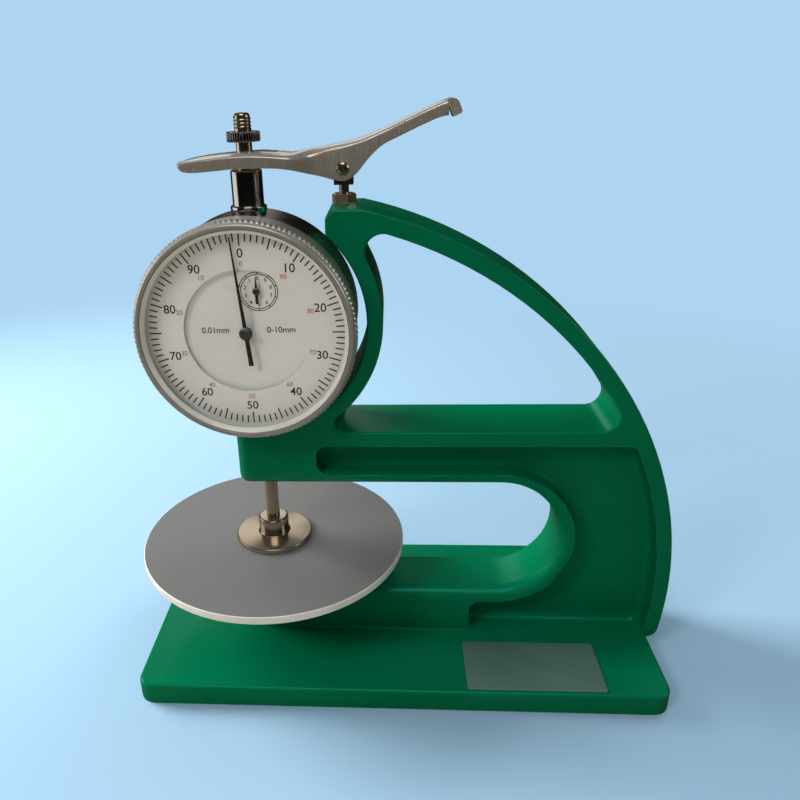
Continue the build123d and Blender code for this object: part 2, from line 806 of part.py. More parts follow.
with BuildPart() as movement_bridge:
    with BuildSketch(facing(bridge_back_y)):
        Circle(bridge_radius)
        Circle(pivot_diameter / 2 + pivot_clearance, mode=Mode.SUBTRACT)
        with Locations(
            (counter_axis_x, counter_axis_z - dial_axis_z),
            (drive_axis_x, drive_axis_z - dial_axis_z),
        ):
            Circle(pivot_diameter / 2 + pivot_clearance, mode=Mode.SUBTRACT)
        with Locations((hairspring_stud_x, counter_axis_z - dial_axis_z)):
            Circle(hairspring_stud_diameter / 2 + seat_clearance, mode=Mode.SUBTRACT)
        with Locations(*pillar_places):
            Circle(pillar_screw_diameter / 2 + screw_hole_clearance, mode=Mode.SUBTRACT)
        with PolarLocations(bridge_radius / 2, 2):
            Circle(bridge_window_radius, mode=Mode.SUBTRACT)
    extrude(amount=bridge_thickness)
    with BuildSketch(facing(bridge_front_y + pillar_screw_head_height)):
        with Locations(*pillar_places):
            Circle(pillar_screw_head_diameter / 2 + seat_clearance)
    extrude(amount=pillar_screw_head_height, mode=Mode.SUBTRACT)
save(movement_bridge, "movement_bridge")

for number, (place_x, place_rise) in enumerate(pillar_places, start=1):
    with BuildPart() as plate_pillar:
        with BuildSketch(facing(movement_plate_back_y, place_x, dial_axis_z + place_rise)):
            Circle(pillar_tenon_diameter / 2)
        extrude(amount=movement_plate_thickness)
        with BuildSketch(facing(movement_plate_front_y, place_x, dial_axis_z + place_rise)):
            Circle(pillar_diameter / 2)
        extrude(amount=movement_plate_front_y - bridge_back_y)
        with BuildSketch(facing(bridge_back_y + pillar_bore_depth, place_x, dial_axis_z + place_rise)):
            Circle(pillar_screw_diameter / 2 + seat_clearance)
        extrude(amount=pillar_bore_depth, mode=Mode.SUBTRACT)
    save(plate_pillar, f"plate_pillar_{number}")
    with BuildPart() as bridge_screw:
        with BuildSketch(facing(bridge_front_y + pillar_screw_head_height, place_x, dial_axis_z + place_rise)):
            Circle(pillar_screw_head_diameter / 2)
        extrude(amount=pillar_screw_head_height)
        with BuildSketch(facing(bridge_back_y + pillar_screw_length, place_x, dial_axis_z + place_rise)):
            Circle(pillar_screw_diameter / 2)
        extrude(amount=pillar_screw_length + bridge_thickness - pillar_screw_head_height)
    save(bridge_screw, f"bridge_screw_{number}")

# Drive pinion: the rack turns it, and its wheel turns the centre pinion

with BuildPart() as drive_pinion:
    with BuildSketch(facing(pinion_face / 2, drive_axis_x, drive_axis_z)):
        with BuildLine():
            Polyline(*tooth_outline(drive_pinion_teeth, 0), close=True)
        make_face()
    extrude(amount=pinion_face)
    with BuildSketch(facing(cock_front_y - arbor_shoulder_gap, drive_axis_x, drive_axis_z)):
        Circle(arbor_diameter / 2)
    extrude(amount=cock_front_y - bridge_back_y - 2 * arbor_shoulder_gap)
    with BuildSketch(facing(cock_back_y, drive_axis_x, drive_axis_z)):
        Circle(pivot_diameter / 2)
    extrude(amount=cock_back_y - bridge_front_y)
save(drive_pinion, "drive_pinion")

# Spoked wheels: the drive wheel below the centre pinion and the take-up wheel above it

for wheel_name, wheel_x, wheel_z, wheel_phase in (
    ("drive_wheel", drive_axis_x, drive_axis_z, mesh_angle),
    ("takeup_wheel", counter_axis_x, counter_axis_z, mesh_angle + 180),
):
    with BuildPart() as spoked_wheel:
        with BuildSketch(facing(wheel_back_y, wheel_x, wheel_z)):
            with BuildLine():
                Polyline(*tooth_outline(wheel_teeth, wheel_phase), close=True)
            make_face()
            Circle(wheel_radius - wheel_rim_width, mode=Mode.SUBTRACT)
            with PolarLocations(0, wheel_spoke_count):
                Rectangle(
                    wheel_radius - wheel_rim_width / 2,
                    wheel_spoke_width,
                    align=(Align.MIN, Align.CENTER),
                )
            Circle(wheel_hub_diameter / 2)
            Circle(arbor_diameter / 2 + seat_clearance, mode=Mode.SUBTRACT)
        extrude(amount=wheel_thickness)
    save(spoked_wheel, wheel_name)

with BuildPart() as pinion_cock:
    with BuildSketch(facing(cock_back_y, drive_axis_x - cock_reach / 2, drive_axis_z)):
        SlotCenterToCenter(cock_reach, cock_width)
        with Locations((cock_reach / 2, 0)):
            Circle(pivot_diameter / 2 + pivot_clearance, mode=Mode.SUBTRACT)
    extrude(amount=cock_thickness)
    with BuildSketch(facing(cock_front_y, drive_axis_x - cock_reach, drive_axis_z)):
        Circle(cock_post_diameter / 2)
    extrude(amount=cock_front_y - movement_plate_back_y)
save(pinion_cock, "pinion_cock")

# Centre pinion: carries the main pointer past the bridge and the inner dial

with BuildPart() as centre_pinion:
    with BuildSketch(facing(movement_plate_front_y - arbor_shoulder_gap)):
        with BuildLine():
            Polyline(
                *tooth_outline(centre_pinion_teeth, mesh_angle + 180 * (1 + 1 / centre_pinion_teeth)),
                close=True,
            )
        make_face()
    extrude(amount=centre_pinion_face)
    with BuildSketch(facing(movement_plate_front_y - arbor_shoulder_gap)):
        Circle(arbor_diameter / 2)
    extrude(amount=movement_plate_front_y - bridge_back_y - 2 * arbor_shoulder_gap)
    with BuildSketch(facing(movement_plate_back_y)):
        Circle(pivot_diameter / 2)
    extrude(amount=movement_plate_back_y - pointer_front_y)
save(centre_pinion, "centre_pinion")

with BuildPart() as pointer_hub:
    with BuildSketch(facing(pointer_back_y + main_hub_height)):
        Circle(main_hub_diameter / 2)
        Circle(pivot_diameter / 2 + seat_clearance, mode=Mode.SUBTRACT)
    extrude(amount=main_hub_height)
save(pointer_hub, "pointer_hub")

with BuildPart() as main_pointer:
    with BuildSketch(facing(pointer_back_y, turn=pointer_rest_angle)):
        with BuildLine():
            Polyline(
                (-main_pointer_width / 2, 0),
                (-pointer_tip_width / 2, main_pointer_reach),
                (pointer_tip_width / 2, main_pointer_reach),
                (main_pointer_width / 2, 0),
                (main_pointer_tail_width / 2, -main_pointer_tail),
                (-main_pointer_tail_width / 2, -main_pointer_tail),
                close=True,
            )
        make_face()
        Circle(main_hub_diameter / 2)
        Circle(pivot_diameter / 2 + seat_clearance, mode=Mode.SUBTRACT)
    extrude(amount=pointer_thickness)
save(main_pointer, "main_pointer")

# Take-up arbor: its wheel is loaded by the hairspring and it carries the counter hand

with BuildPart() as counter_arbor:
    with BuildSketch(facing(movement_plate_front_y - arbor_shoulder_gap, counter_axis_x, counter_axis_z)):
        Circle(arbor_diameter / 2)
    extrude(amount=movement_plate_front_y - bridge_back_y - 2 * arbor_shoulder_gap)
    with BuildSketch(facing(hairspring_back_y, counter_axis_x, counter_axis_z)):
        Circle(collet_diameter / 2)
    extrude(amount=hairspring_height)
    with BuildSketch(facing(movement_plate_back_y, counter_axis_x, counter_axis_z)):
        Circle(pivot_diameter / 2)
    extrude(amount=movement_plate_back_y - counter_hand_front_y)
save(counter_arbor, "counter_arbor")

with BuildPart() as counter_hand:
    with BuildSketch(facing(counter_hand_back_y, counter_axis_x, counter_axis_z)):
        with BuildLine():
            Polyline(
                (-counter_hand_width / 2, 0),
                (0, counter_hand_reach),
                (counter_hand_width / 2, 0),
                (counter_hand_width / 2, -counter_hand_tail),
                (-counter_hand_width / 2, -counter_hand_tail),
                close=True,
            )
        make_face()
        Circle(counter_hub_diameter / 2)
        Circle(pivot_diameter / 2 + seat_clearance, mode=Mode.SUBTRACT)
    extrude(amount=pointer_thickness)
save(counter_hand, "counter_hand")


def spiral_point(turn, side):
    """Point of the hairspring's edge after a number of turns; side is -1 inside and 1 outside."""
    radius = hairspring_inner_radius + turn * hairspring_turn_pitch + side * hairspring_strip / 2
    angle = 2 * math.pi * turn
    return (radius * math.cos(angle), radius * math.sin(angle))


spiral_turns = [step / 8 for step in range(8 * hairspring_turns + 1)]

with BuildPart() as hairspring:
    with BuildSketch(facing(hairspring_back_y, counter_axis_x, counter_axis_z)):
        with BuildLine():
            inner_edge = Spline(*[spiral_point(turn, -1) for turn in spiral_turns])
            outer_edge = Spline(*[spiral_point(turn, 1) for turn in spiral_turns])
            Line(inner_edge @ 0, outer_edge @ 0)
            Line(inner_edge @ 1, outer_edge @ 1)
        make_face()
    extrude(amount=hairspring_height)
save(hairspring, "hairspring")

with BuildPart() as hairspring_stud:
    with BuildSketch(facing(hairspring_back_y, hairspring_stud_x, counter_axis_z)):
        Circle(hairspring_stud_diameter / 2)
    extrude(amount=hairspring_back_y - bridge_front_y)
save(hairspring_stud, "hairspring_stud")

# Guide of the spindle, and the spring that draws the spindle down

with BuildPart() as guide_block:
    with BuildSketch(Plane.XY.offset(guide_slot_bottom_z - guide_wall)):
        with Locations((guide_block_x, movement_plate_back_y)):
            Rectangle(
                guide_block_width,
                guide_block_back_y - movement_plate_back_y,
                align=(Align.MIN, Align.MIN),
            )
    extrude(amount=guide_slot_top_z - guide_slot_bottom_z + 2 * guide_wall)
    with BuildSketch(Plane.YZ.offset(guide_block_x)):
        with Locations((0, guide_slot_bottom_z)):
            Rectangle(
                guide_pin_diameter + 2 * running_clearance,
                guide_slot_top_z - guide_slot_bottom_z,
                align=(Align.CENTER, Align.MIN),
            )
    extrude(amount=guide_block_width, mode=Mode.SUBTRACT)
save(guide_block, "guide_block")

with BuildPart() as guide_pin:
    with BuildSketch(Plane.YZ):
        with Locations((0, guide_pin_rest_z)):
            Circle(guide_pin_diameter / 2)
    extrude(amount=guide_block_right_x + guide_pin_overhang)
save(guide_pin, "guide_pin")

with BuildPart() as measuring_spring:
    with BuildLine() as spring_line:
        Helix(
            pitch=spring_length / spring_turns,
            height=spring_length,
            radius=(spring_coil_diameter - spring_wire) / 2,
            center=(spring_x, 0, spring_foot_z),
        )
    with BuildSketch(Plane(origin=spring_line.line @ 0, z_dir=spring_line.line % 0)):
        Circle(spring_wire / 2)
    sweep(path=spring_line.line, is_frenet=True)
save(measuring_spring, "measuring_spring")

with BuildPart() as spring_post:
    with BuildSketch(facing(spring_coil_diameter / 2, spring_x, spring_bottom_z)):
        Circle(spring_post_diameter / 2)
    extrude(amount=spring_coil_diameter / 2 - movement_plate_back_y)
save(spring_post, "spring_post")

# Spindle with its rack, its foot and its lifting nut


def rack_gap_corners():
    """Corner points of the gaps between the rack's teeth, from the lowest to the highest."""
    tip_half = rack_pitch * (1 - tooth_fill * tooth_taper) / 2
    root_half = rack_pitch * (1 - tooth_fill * (2 - tooth_taper)) / 2
    lowest = -math.ceil((spindle_travel + rack_overrun) / rack_pitch)
    highest = math.ceil(rack_overrun / rack_pitch)
    corners = []
    for index in range(lowest, highest + 1):
        middle = drive_axis_z + index * rack_pitch
        corners.append((-rack_tip_x, middle - tip_half))
        corners.append((-rack_root_x, middle - root_half))
        corners.append((-rack_root_x, middle + root_half))
        corners.append((-rack_tip_x, middle + tip_half))
    return corners


with BuildPart() as rack_spindle:
    with BuildSketch(Plane.XY.offset(hub_top_z)):
        Circle(spindle_radius)
    extrude(amount=spindle_top_z - hub_top_z)
    fillet(rack_spindle.faces().sort_by(Axis.Z)[-1].edges(), spindle_tip_round)
    with BuildSketch(Plane.XZ):
        with BuildLine():
            gaps = rack_gap_corners()
            Polyline((-spindle_diameter, gaps[0][1]), *gaps, (-spindle_diameter, gaps[-1][1]), close=True)
        make_face()
    extrude(amount=spindle_radius, both=True, mode=Mode.SUBTRACT)
    with BuildSketch(Plane.YZ):
        with Locations((0, guide_pin_rest_z)):
            Circle(guide_pin_diameter / 2 + seat_clearance)
    extrude(amount=spindle_radius, mode=Mode.SUBTRACT)
    with BuildSketch(Plane.XY.offset(hub_top_z)):
        Circle(foot_stud_diameter / 2 + seat_clearance)
    extrude(amount=foot_stud_length + seat_clearance, mode=Mode.SUBTRACT)
save(rack_spindle, "rack_spindle")

with BuildPart() as presser_foot:
    with BuildSketch(Plane.XY.offset(foot_bottom_z)):
        Circle(foot_diameter / 2)
    extrude(amount=foot_disc_thickness)
    chamfer(presser_foot.edges(), foot_edge_chamfer)
    with BuildSketch(Plane.XY.offset(foot_top_z)):
        Circle(foot_hub_diameter / 2)
    extrude(amount=foot_hub_height)
    chamfer(presser_foot.faces().sort_by(Axis.Z)[-1].edges(), foot_edge_chamfer)
    with BuildSketch(Plane.XY.offset(hub_top_z)):
        Circle(foot_stud_diameter / 2)
    extrude(amount=foot_stud_length)
save(presser_foot, "presser_foot")

with BuildPart() as lifting_nut:
    with BuildSketch(Plane.XY.offset(nut_bottom_z)):
        Circle(nut_diameter / 2)
        with PolarLocations(nut_diameter / 2, nut_knurl_count):
            RegularPolygon(nut_knurl_depth, 4, mode=Mode.SUBTRACT)
        Circle(spindle_radius + seat_clearance, mode=Mode.SUBTRACT)
    extrude(amount=nut_height)
save(lifting_nut, "lifting_nut")

# Lift lever: a pressed channel, open below, forked round the spindle


def lever_plan(inset):
    """Corners of the lever seen from above, inside the true outline by the inset."""
    half_outline = (
        (lever_left_x, fork_width / 2 - inset),
        (fork_shoulder_x, fork_width / 2 - inset),
        (waist_start_x, waist_width / 2 - inset),
        (waist_end_x, waist_width / 2 - inset),
        (grip_start_x, grip_width / 2 - inset),
        (lever_tip_x - inset, grip_width / 2 - inset),
    )
    return [*half_outline, *((x, -y) for x, y in reversed(half_outline))]


def from_pivot(points, drop=0.0):
    """Points given from the lever's pivot, as places in the frame, lowered by the drop."""
    return [(lever_pivot_x + x, lever_pivot_z + z - drop) for x, z in points]


with BuildPart() as lever_cavity:
    with BuildSketch(Plane.XZ):
        with BuildLine():
            cavity_top = Spline(*from_pivot(lever_top_points, lever_wall))
            cavity_left = Line(cavity_top @ 0, ((cavity_top @ 0).X, head_top_z))
            cavity_floor = Line(cavity_left @ 1, ((cavity_top @ 1).X, head_top_z))
            Line(cavity_floor @ 1, cavity_top @ 1)
        make_face()
    extrude(amount=fork_width, both=True)
    with BuildSketch(Plane.XY.offset(head_top_z)) as cavity_plan:
        with BuildLine():
            Polyline(*lever_plan(lever_wall), close=True)
        make_face()
        fillet(cavity_plan.vertices().group_by(Axis.X)[-1], grip_width / 2 - lever_wall - running_clearance)
    extrude(amount=dial_axis_z, mode=Mode.INTERSECT)

with BuildPart() as lift_lever:
    with BuildSketch(Plane.XZ):
        with BuildLine():
            lever_top = Spline(*from_pivot(lever_top_points))
            lever_under = Spline(*from_pivot(lever_under_points))
            Line(lever_top @ 0, lever_under @ 0)
            ThreePointArc(lever_top @ 1, from_pivot((lever_tip_point,))[0], lever_under @ 1)
        make_face()
    extrude(amount=fork_width, both=True)
    with BuildSketch(Plane.XY.offset(head_top_z)) as lever_outline:
        with BuildLine():
            Polyline(*lever_plan(0), close=True)
        make_face()
        fillet(lever_outline.vertices().group_by(Axis.X)[-1], grip_width / 2 - running_clearance)
    extrude(amount=dial_axis_z, mode=Mode.INTERSECT)
    add(lever_cavity.part, mode=Mode.SUBTRACT)
    with BuildSketch(Plane.XY.offset(head_top_z)):
        with Locations((fork_slot_end_x, 0)):
            Rectangle(
                2 * fork_slot_end_x - lever_left_x,
                fork_slot_width,
                align=(Align.MAX, Align.CENTER),
            )
    extrude(amount=dial_axis_z, mode=Mode.SUBTRACT)
    with BuildSketch(facing(fork_width / 2, lever_pivot_x, lever_pivot_z)):
        Circle(pivot_pin_diameter / 2 + seat_clearance)
    extrude(amount=fork_width, mode=Mode.SUBTRACT)
save(lift_lever, "lift_lever")

with BuildPart() as lever_pivot_pin:
    with BuildSketch(facing(waist_width / 2 + pivot_head_height, lever_pivot_x, lever_pivot_z)):
        Circle(pivot_head_diameter / 2)
    extrude(amount=pivot_head_height)
    with BuildSketch(facing(waist_width / 2, lever_pivot_x, lever_pivot_z)):
        Circle(pivot_pin_diameter / 2)
    extrude(amount=waist_width)
    with BuildSketch(facing(-waist_width / 2, lever_pivot_x, lever_pivot_z)):
        Circle(pivot_head_diameter / 2)
    extrude(amount=pivot_head_height)
save(lever_pivot_pin, "lever_pivot_pin")

# Stud that carries the lever, screwed into the head and locked by a nut

with BuildPart() as lever_stud:
    with BuildSketch(facing(stud_eye_width / 2, lever_pivot_x, lever_pivot_z)):
        Circle(stud_eye_radius)
        Rectangle(
            2 * stud_eye_radius,
            lever_pivot_z - stud_eye_bottom_z,
            align=(Align.CENTER, Align.MAX),
        )
        Circle(pivot_pin_diameter / 2 + running_clearance, mode=Mode.SUBTRACT)
    extrude(amount=stud_eye_width)
    with BuildSketch(Plane.XY.offset(locknut_top_z)):
        with Locations((lever_pivot_x, 0)):
            Circle(stud_neck_diameter / 2)
    extrude(amount=stud_eye_bottom_z - locknut_top_z)
    with BuildSketch(Plane.XY.offset(stud_bottom_z)):
        with Locations((lever_pivot_x, 0)):
            Circle(stud_diameter / 2)
    extrude(amount=locknut_top_z - stud_bottom_z)
save(lever_stud, "lever_stud")

with BuildPart() as stud_locknut:
    with BuildSketch(Plane.XY.offset(head_top_z)):
        with Locations((lever_pivot_x, 0)):
            RegularPolygon(locknut_across_flats / 2, 6, major_radius=False)
            Circle(stud_diameter / 2 + seat_clearance, mode=Mode.SUBTRACT)
    extrude(amount=locknut_height)
save(stud_locknut, "stud_locknut")
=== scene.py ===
"""Looks of the sheet thickness gauge: a dial indicator in an enamelled cast frame, with a lift lever.

Sizes are in millimetres from the middle of the spindle on the underside of the base, as in the
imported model. X runs to the closed back of the frame, Y away from the reader, Z up.
"""

import json
import logging
import math
from dataclasses import dataclass
from enum import Enum
from typing import Callable, Iterable, Optional, Sequence

import bmesh
import bpy
from mathutils import Matrix, Vector


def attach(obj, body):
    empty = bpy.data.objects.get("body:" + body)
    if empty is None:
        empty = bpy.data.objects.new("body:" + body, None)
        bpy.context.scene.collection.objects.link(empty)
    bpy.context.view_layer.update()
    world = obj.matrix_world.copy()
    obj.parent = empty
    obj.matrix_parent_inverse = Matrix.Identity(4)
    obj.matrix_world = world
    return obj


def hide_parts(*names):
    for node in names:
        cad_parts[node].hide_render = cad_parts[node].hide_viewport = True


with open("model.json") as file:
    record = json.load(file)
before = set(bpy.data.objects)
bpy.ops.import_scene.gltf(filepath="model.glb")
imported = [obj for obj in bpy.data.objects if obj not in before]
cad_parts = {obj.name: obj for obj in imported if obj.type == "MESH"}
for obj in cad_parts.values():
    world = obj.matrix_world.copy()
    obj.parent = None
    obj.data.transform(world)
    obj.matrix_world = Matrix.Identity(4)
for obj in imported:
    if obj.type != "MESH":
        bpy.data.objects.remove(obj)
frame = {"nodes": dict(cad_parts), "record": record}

MM = 0.001
FULL_TURN = 2 * math.pi
DIAL_Z = 105.5
BASE_TOP = 6.5
RAIL_TOP = 21.0
MERGE_GAP = 1e-4
FIT_GAP = 0.02

log = logging.getLogger("thickness_gauge")

Point2 = tuple[float, float]
Corner = tuple[float, float, float]
Colour = tuple[float, float, float]
Tree = bpy.types.NodeTree
Node = bpy.types.Node
Socket = bpy.types.NodeSocket
BMesh = bmesh.types.BMesh
BMEdge = bmesh.types.BMEdge
BMVert = bmesh.types.BMVert


# Shader nodes


def set_inputs(tree: Tree, node: Node, *values: object, **named: object) -> None:
    """Link or set a node's inputs.

    Args:
        tree: the node tree.
        node: one of its nodes.
        values: sockets or values for its first inputs, in order.
        named: sockets or values by the input's name, with _ for a space.
    """
    places = dict(enumerate(values)) | {name.replace("_", " "): value for name, value in named.items()}
    for place, value in places.items():
        if isinstance(value, Socket):
            tree.links.new(value, node.inputs[place])
        else:
            node.inputs[place].default_value = value


def add(tree: Tree, kind: str, *values: object, **named: object) -> Node:
    """Add a shader node.

    Args:
        tree: the node tree.
        kind: the node's type, without its first word.
        values: sockets or values for its first inputs, in order.
        named: its settings in small letters, and inputs by their names with capitals.

    Returns:
        The node.
    """
    node = tree.nodes.new(f"ShaderNode{kind}")
    for name, value in named.items():
        if name.islower():
            setattr(node, name, value)
    set_inputs(tree, node, *values, **{name: value for name, value in named.items() if not name.islower()})
    return node


def maths(tree: Tree, operation: str, *values: object) -> Socket:
    """Add a Math node, with sockets or numbers as its inputs, and give its output."""
    return add(tree, "Math", *values, operation=operation).outputs[0]


def noise(tree: Tree, vector: Socket, scale: object, detail: float) -> Socket:
    """Add a Noise Texture node, whose scale may be a socket, and give its value round 0.5."""
    return add(tree, "TexNoise", Vector=vector, Scale=scale, Detail=detail).outputs["Fac"]


def ramp(tree: Tree, value: Socket, *limits: float) -> Socket:
    """Stretch a value from the first two limits to the last two, or to 0 and 1."""
    return add(tree, "MapRange", value, *limits).outputs[0]


def blend(tree: Tree, mask: Socket, first: object, second: object) -> Socket:
    """Mix two colours, each a colour or a socket, by a mask."""
    sides = [(*side, 1.0) if isinstance(side, tuple) else side for side in (first, second)]
    return add(tree, "Mix", data_type="RGBA", Factor=mask, A=sides[0], B=sides[1]).outputs["Result"]


class Grain(Enum):
    """How a finish breaks up its surface, by the name of its shader group."""

    PEEL = "enamel_peel"
    TURNED = "lathe_rings"
    BRUSHED = "brush_lines"
    SATIN = "satin_grain"


class Lay(Enum):
    """The axis that a turned or brushed grain follows, as a rotation that brings it to Z."""

    ALONG_X = (0.0, -math.pi / 2, 0.0)
    ALONG_Y = (math.pi / 2, 0.0, 0.0)
    ALONG_Z = (0.0, 0.0, 0.0)

    def centre(self) -> Vector:
        """Give the middle of the grain's rings, in metres: on the dial's axis or the spindle's."""
        return Vector((0, 0, DIAL_Z * MM if self is Lay.ALONG_Y else 0))


class GrainGroups:
    """Builds the shader groups that finishes share, each once."""

    def __init__(self) -> None:
        """Start with no group built."""
        self.built: dict[str, Tree] = {}

    def fetch(self, name: str, number: str, outputs: Sequence[str],
              fill: Callable[[Tree, Socket, Socket], Sequence[Socket]]) -> Tree:
        """Give the named group, and build it the first time.

        Args:
            name: the group's name.
            number: the name of its number input, beside its Vector input.
            outputs: names of its outputs.
            fill: makes the nodes between both inputs and the outputs.

        Returns:
            The node group.
        """
        if name not in self.built:
            tree = bpy.data.node_groups.new(name, "ShaderNodeTree")
            tree.interface.new_socket("Vector", in_out="INPUT", socket_type="NodeSocketVector")
            tree.interface.new_socket(number, in_out="INPUT", socket_type="NodeSocketFloat")
            for label in outputs:
                tree.interface.new_socket(label, in_out="OUTPUT", socket_type="NodeSocketFloat")
            start = tree.nodes.new("NodeGroupInput").outputs
            set_inputs(tree, tree.nodes.new("NodeGroupOutput"), *fill(tree, start["Vector"], start[number]))
            self.built[name] = tree
        return self.built[name]

    def grain(self, grain: Grain) -> Tree:
        """Give the group of a grain, with its height and mottle.

        Args:
            grain: the grain.

        Returns:
            The node group.
        """
        fill = {Grain.PEEL: self.peel, Grain.TURNED: self.turned, Grain.BRUSHED: self.brushed,
                Grain.SATIN: self.satin}[grain]
        return self.fetch(grain.value, "Density", ("Height", "Mottle"), fill)

    def peel(self, tree: Tree, vector: Socket, _density: Socket) -> tuple[Socket, Socket]:
        """Make orange peel and slow waves, as of thick enamel on a sand casting.

        Args:
            tree: the group.
            vector: the coordinates.
            _density: isn't used, since the peel has one fineness.

        Returns:
            The height and the mottle.
        """
        fine = maths(tree, "MULTIPLY", noise(tree, vector, 900.0, 2.0), 0.35)
        return maths(tree, "ADD", fine, noise(tree, vector, 60.0, 3.0)), noise(tree, vector, 22.0, 4.0)

    def turned(self, tree: Tree, vector: Socket, density: Socket) -> tuple[Socket, Socket]:
        """Make fine rings, as a lathe tool leaves them, that change with the radius and the height.

        Args:
            tree: the group.
            vector: the coordinates, with Z along the axis.
            density: how fine the rings are.

        Returns:
            The height and the mottle.
        """
        split = add(tree, "SeparateXYZ", vector).outputs
        squares = [maths(tree, "MULTIPLY", split[way], split[way]) for way in "XY"]
        radius = maths(tree, "SQRT", maths(tree, "ADD", *squares))
        along = maths(tree, "MULTIPLY", split["Z"], 0.7)
        place = maths(tree, "MULTIPLY", maths(tree, "ADD", radius, along), density)
        rings = noise(tree, add(tree, "CombineXYZ", place).outputs[0], 1.0, 3.0)
        blotch = noise(tree, vector, 45.0, 3.0)
        return rings, maths(tree, "ADD", maths(tree, "MULTIPLY", rings, 0.6),
                            maths(tree, "MULTIPLY", blotch, 0.4))

    def brushed(self, tree: Tree, vector: Socket, density: Socket) -> tuple[Socket, Socket]:
        """Make fine scratches along Z.

        Args:
            tree: the group.
            vector: the coordinates.
            density: how fine the scratches are.

        Returns:
            The height and the mottle.
        """
        squashed = add(tree, "VectorMath", vector, (1.0, 1.0, 0.04), operation="MULTIPLY").outputs[0]
        lines = noise(tree, squashed, density, 4.0)
        blotch = noise(tree, vector, 70.0, 3.0)
        return lines, maths(tree, "ADD", maths(tree, "MULTIPLY", lines, 0.5),
                            maths(tree, "MULTIPLY", blotch, 0.5))

    def satin(self, tree: Tree, vector: Socket, density: Socket) -> tuple[Socket, Socket]:
        """Make a very fine grain with soft patches, as on plated or blasted metal and print."""
        return noise(tree, vector, density, 2.0), noise(tree, vector, 120.0, 3.0)

    def wear_and_highlight(self, tree: Tree, vector: Socket, amount: Socket) -> tuple[Socket]:
        """Make a mask of the convex edges, broken up by noise: rubbed wear, and on the enamel a painted
        highlight along the edges.

        Args:
            tree: the group.
            vector: the coordinates.
            amount: how strong the wear and the painted highlight are.

        Returns:
            The mask alone.
        """
        shape = add(tree, "NewGeometry").outputs
        rounded = add(tree, "Bevel", samples=4, Radius=0.5 * MM).outputs[0]
        turn = add(tree, "VectorMath", rounded, shape["Normal"], operation="DOT_PRODUCT")
        edge = maths(tree, "MULTIPLY", ramp(tree, turn.outputs["Value"], 0.995, 0.93),
                     ramp(tree, shape["Pointiness"], 0.49, 0.55))
        rough = ramp(tree, noise(tree, vector, 160.0, 4.0), 0.42, 0.66)
        return (maths(tree, "MULTIPLY", maths(tree, "MULTIPLY", edge, rough), amount),)


GROUPS = GrainGroups()


@dataclass(frozen=True)
class Finish:
    """One finish of the gauge's surfaces, with its grain, mottle, and edge wear that on the enamel also
    paints a highlight along the edges.
    """

    name: str
    colour: Colour
    second_colour: Colour
    metallic: float
    roughness: float
    roughness_spread: float
    grain: Grain = Grain.SATIN
    lay: Lay = Lay.ALONG_Z
    bump: float = 0.15
    bump_depth: float = 0.02
    density: float = 5000.0
    # The edge colour and its strength: rubbed wear, and on the green enamel a painted highlight along the
    # edges.
    wear_and_highlight_colour: Optional[Colour] = None
    wear_and_highlight: float = 0.0
    specular: float = 0.5
    specular_tint: Colour = (1.0, 1.0, 1.0)

    def build(self) -> bpy.types.Material:
        """Make the material, or give it again if it's already made.

        Returns:
            The material.
        """
        known = bpy.data.materials.get(f"{self.name}_finish")
        if known is not None:
            return known
        material = bpy.data.materials.new(f"{self.name}_finish")
        material.use_nodes = True
        tree = material.node_tree
        place = add(tree, "TexCoord").outputs["Object"]
        turn = Matrix.Rotation(self.lay.value[1], 3, "Y") @ Matrix.Rotation(self.lay.value[0], 3, "X")
        mapped = add(tree, "Mapping", vector_type="POINT", Vector=place, Rotation=self.lay.value,
                     Location=-(turn @ self.lay.centre()))
        grain = add(tree, "Group", node_tree=GROUPS.grain(self.grain), Vector=mapped.outputs[0],
                    Density=self.density)
        mottle = grain.outputs["Mottle"]
        colour = blend(tree, ramp(tree, mottle, 0.32, 0.68), self.colour, self.second_colour)
        # Convex edges take the edge colour: rubbed wear, and on the enamel a painted highlight.
        if self.wear_and_highlight_colour is not None:
            group = GROUPS.fetch("edge_wear_and_highlight", "Amount", ("Mask",), GROUPS.wear_and_highlight)
            worn_or_highlit = add(tree, "Group", node_tree=group, Vector=place, Amount=self.wear_and_highlight)
            colour = blend(tree, worn_or_highlit.outputs["Mask"], colour, self.wear_and_highlight_colour)
        gloss = ramp(tree, mottle, 0.3, 0.7, max(self.roughness - self.roughness_spread, 0.02),
                     min(self.roughness + self.roughness_spread, 1.0))
        bump = add(tree, "Bump", Strength=self.bump, Distance=self.bump_depth * MM,
                   Height=grain.outputs["Height"])
        set_inputs(tree, tree.nodes["Principled BSDF"], Base_Color=colour, Metallic=self.metallic,
                   Roughness=gloss, Normal=bump.outputs[0], Specular_IOR_Level=self.specular,
                   Specular_Tint=(*self.specular_tint, 1.0))
        return material


@dataclass(frozen=True)
class ClearFinish:
    """Clear moulded crystal that lets the light through to the dial."""

    name: str = "clear_crystal"
    ior: float = 1.45

    def build(self) -> bpy.types.Material:
        """Make the material.

        Returns:
            The material.
        """
        material = bpy.data.materials.new(self.name)
        material.use_nodes = True
        tree = material.node_tree
        shader = tree.nodes["Principled BSDF"]
        smear = noise(tree, add(tree, "TexCoord").outputs["Object"], 90.0, 3.0)
        set_inputs(tree, shader, Base_Color=(0.98, 0.99, 0.98, 1.0), Metallic=0.0,
                   Transmission_Weight=1.0, IOR=self.ior, Roughness=ramp(tree, smear, 0.45, 0.8, 0.0, 0.03))
        path = add(tree, "LightPath").outputs
        passing = maths(tree, "MAXIMUM", path["Is Shadow Ray"], path["Is Diffuse Ray"])
        mix = add(tree, "MixShader", passing, shader.outputs[0], add(tree, "BsdfTransparent").outputs[0])
        tree.links.new(mix.outputs[0], tree.nodes["Material Output"].inputs["Surface"])
        return material


AnyFinish = Finish | ClearFinish
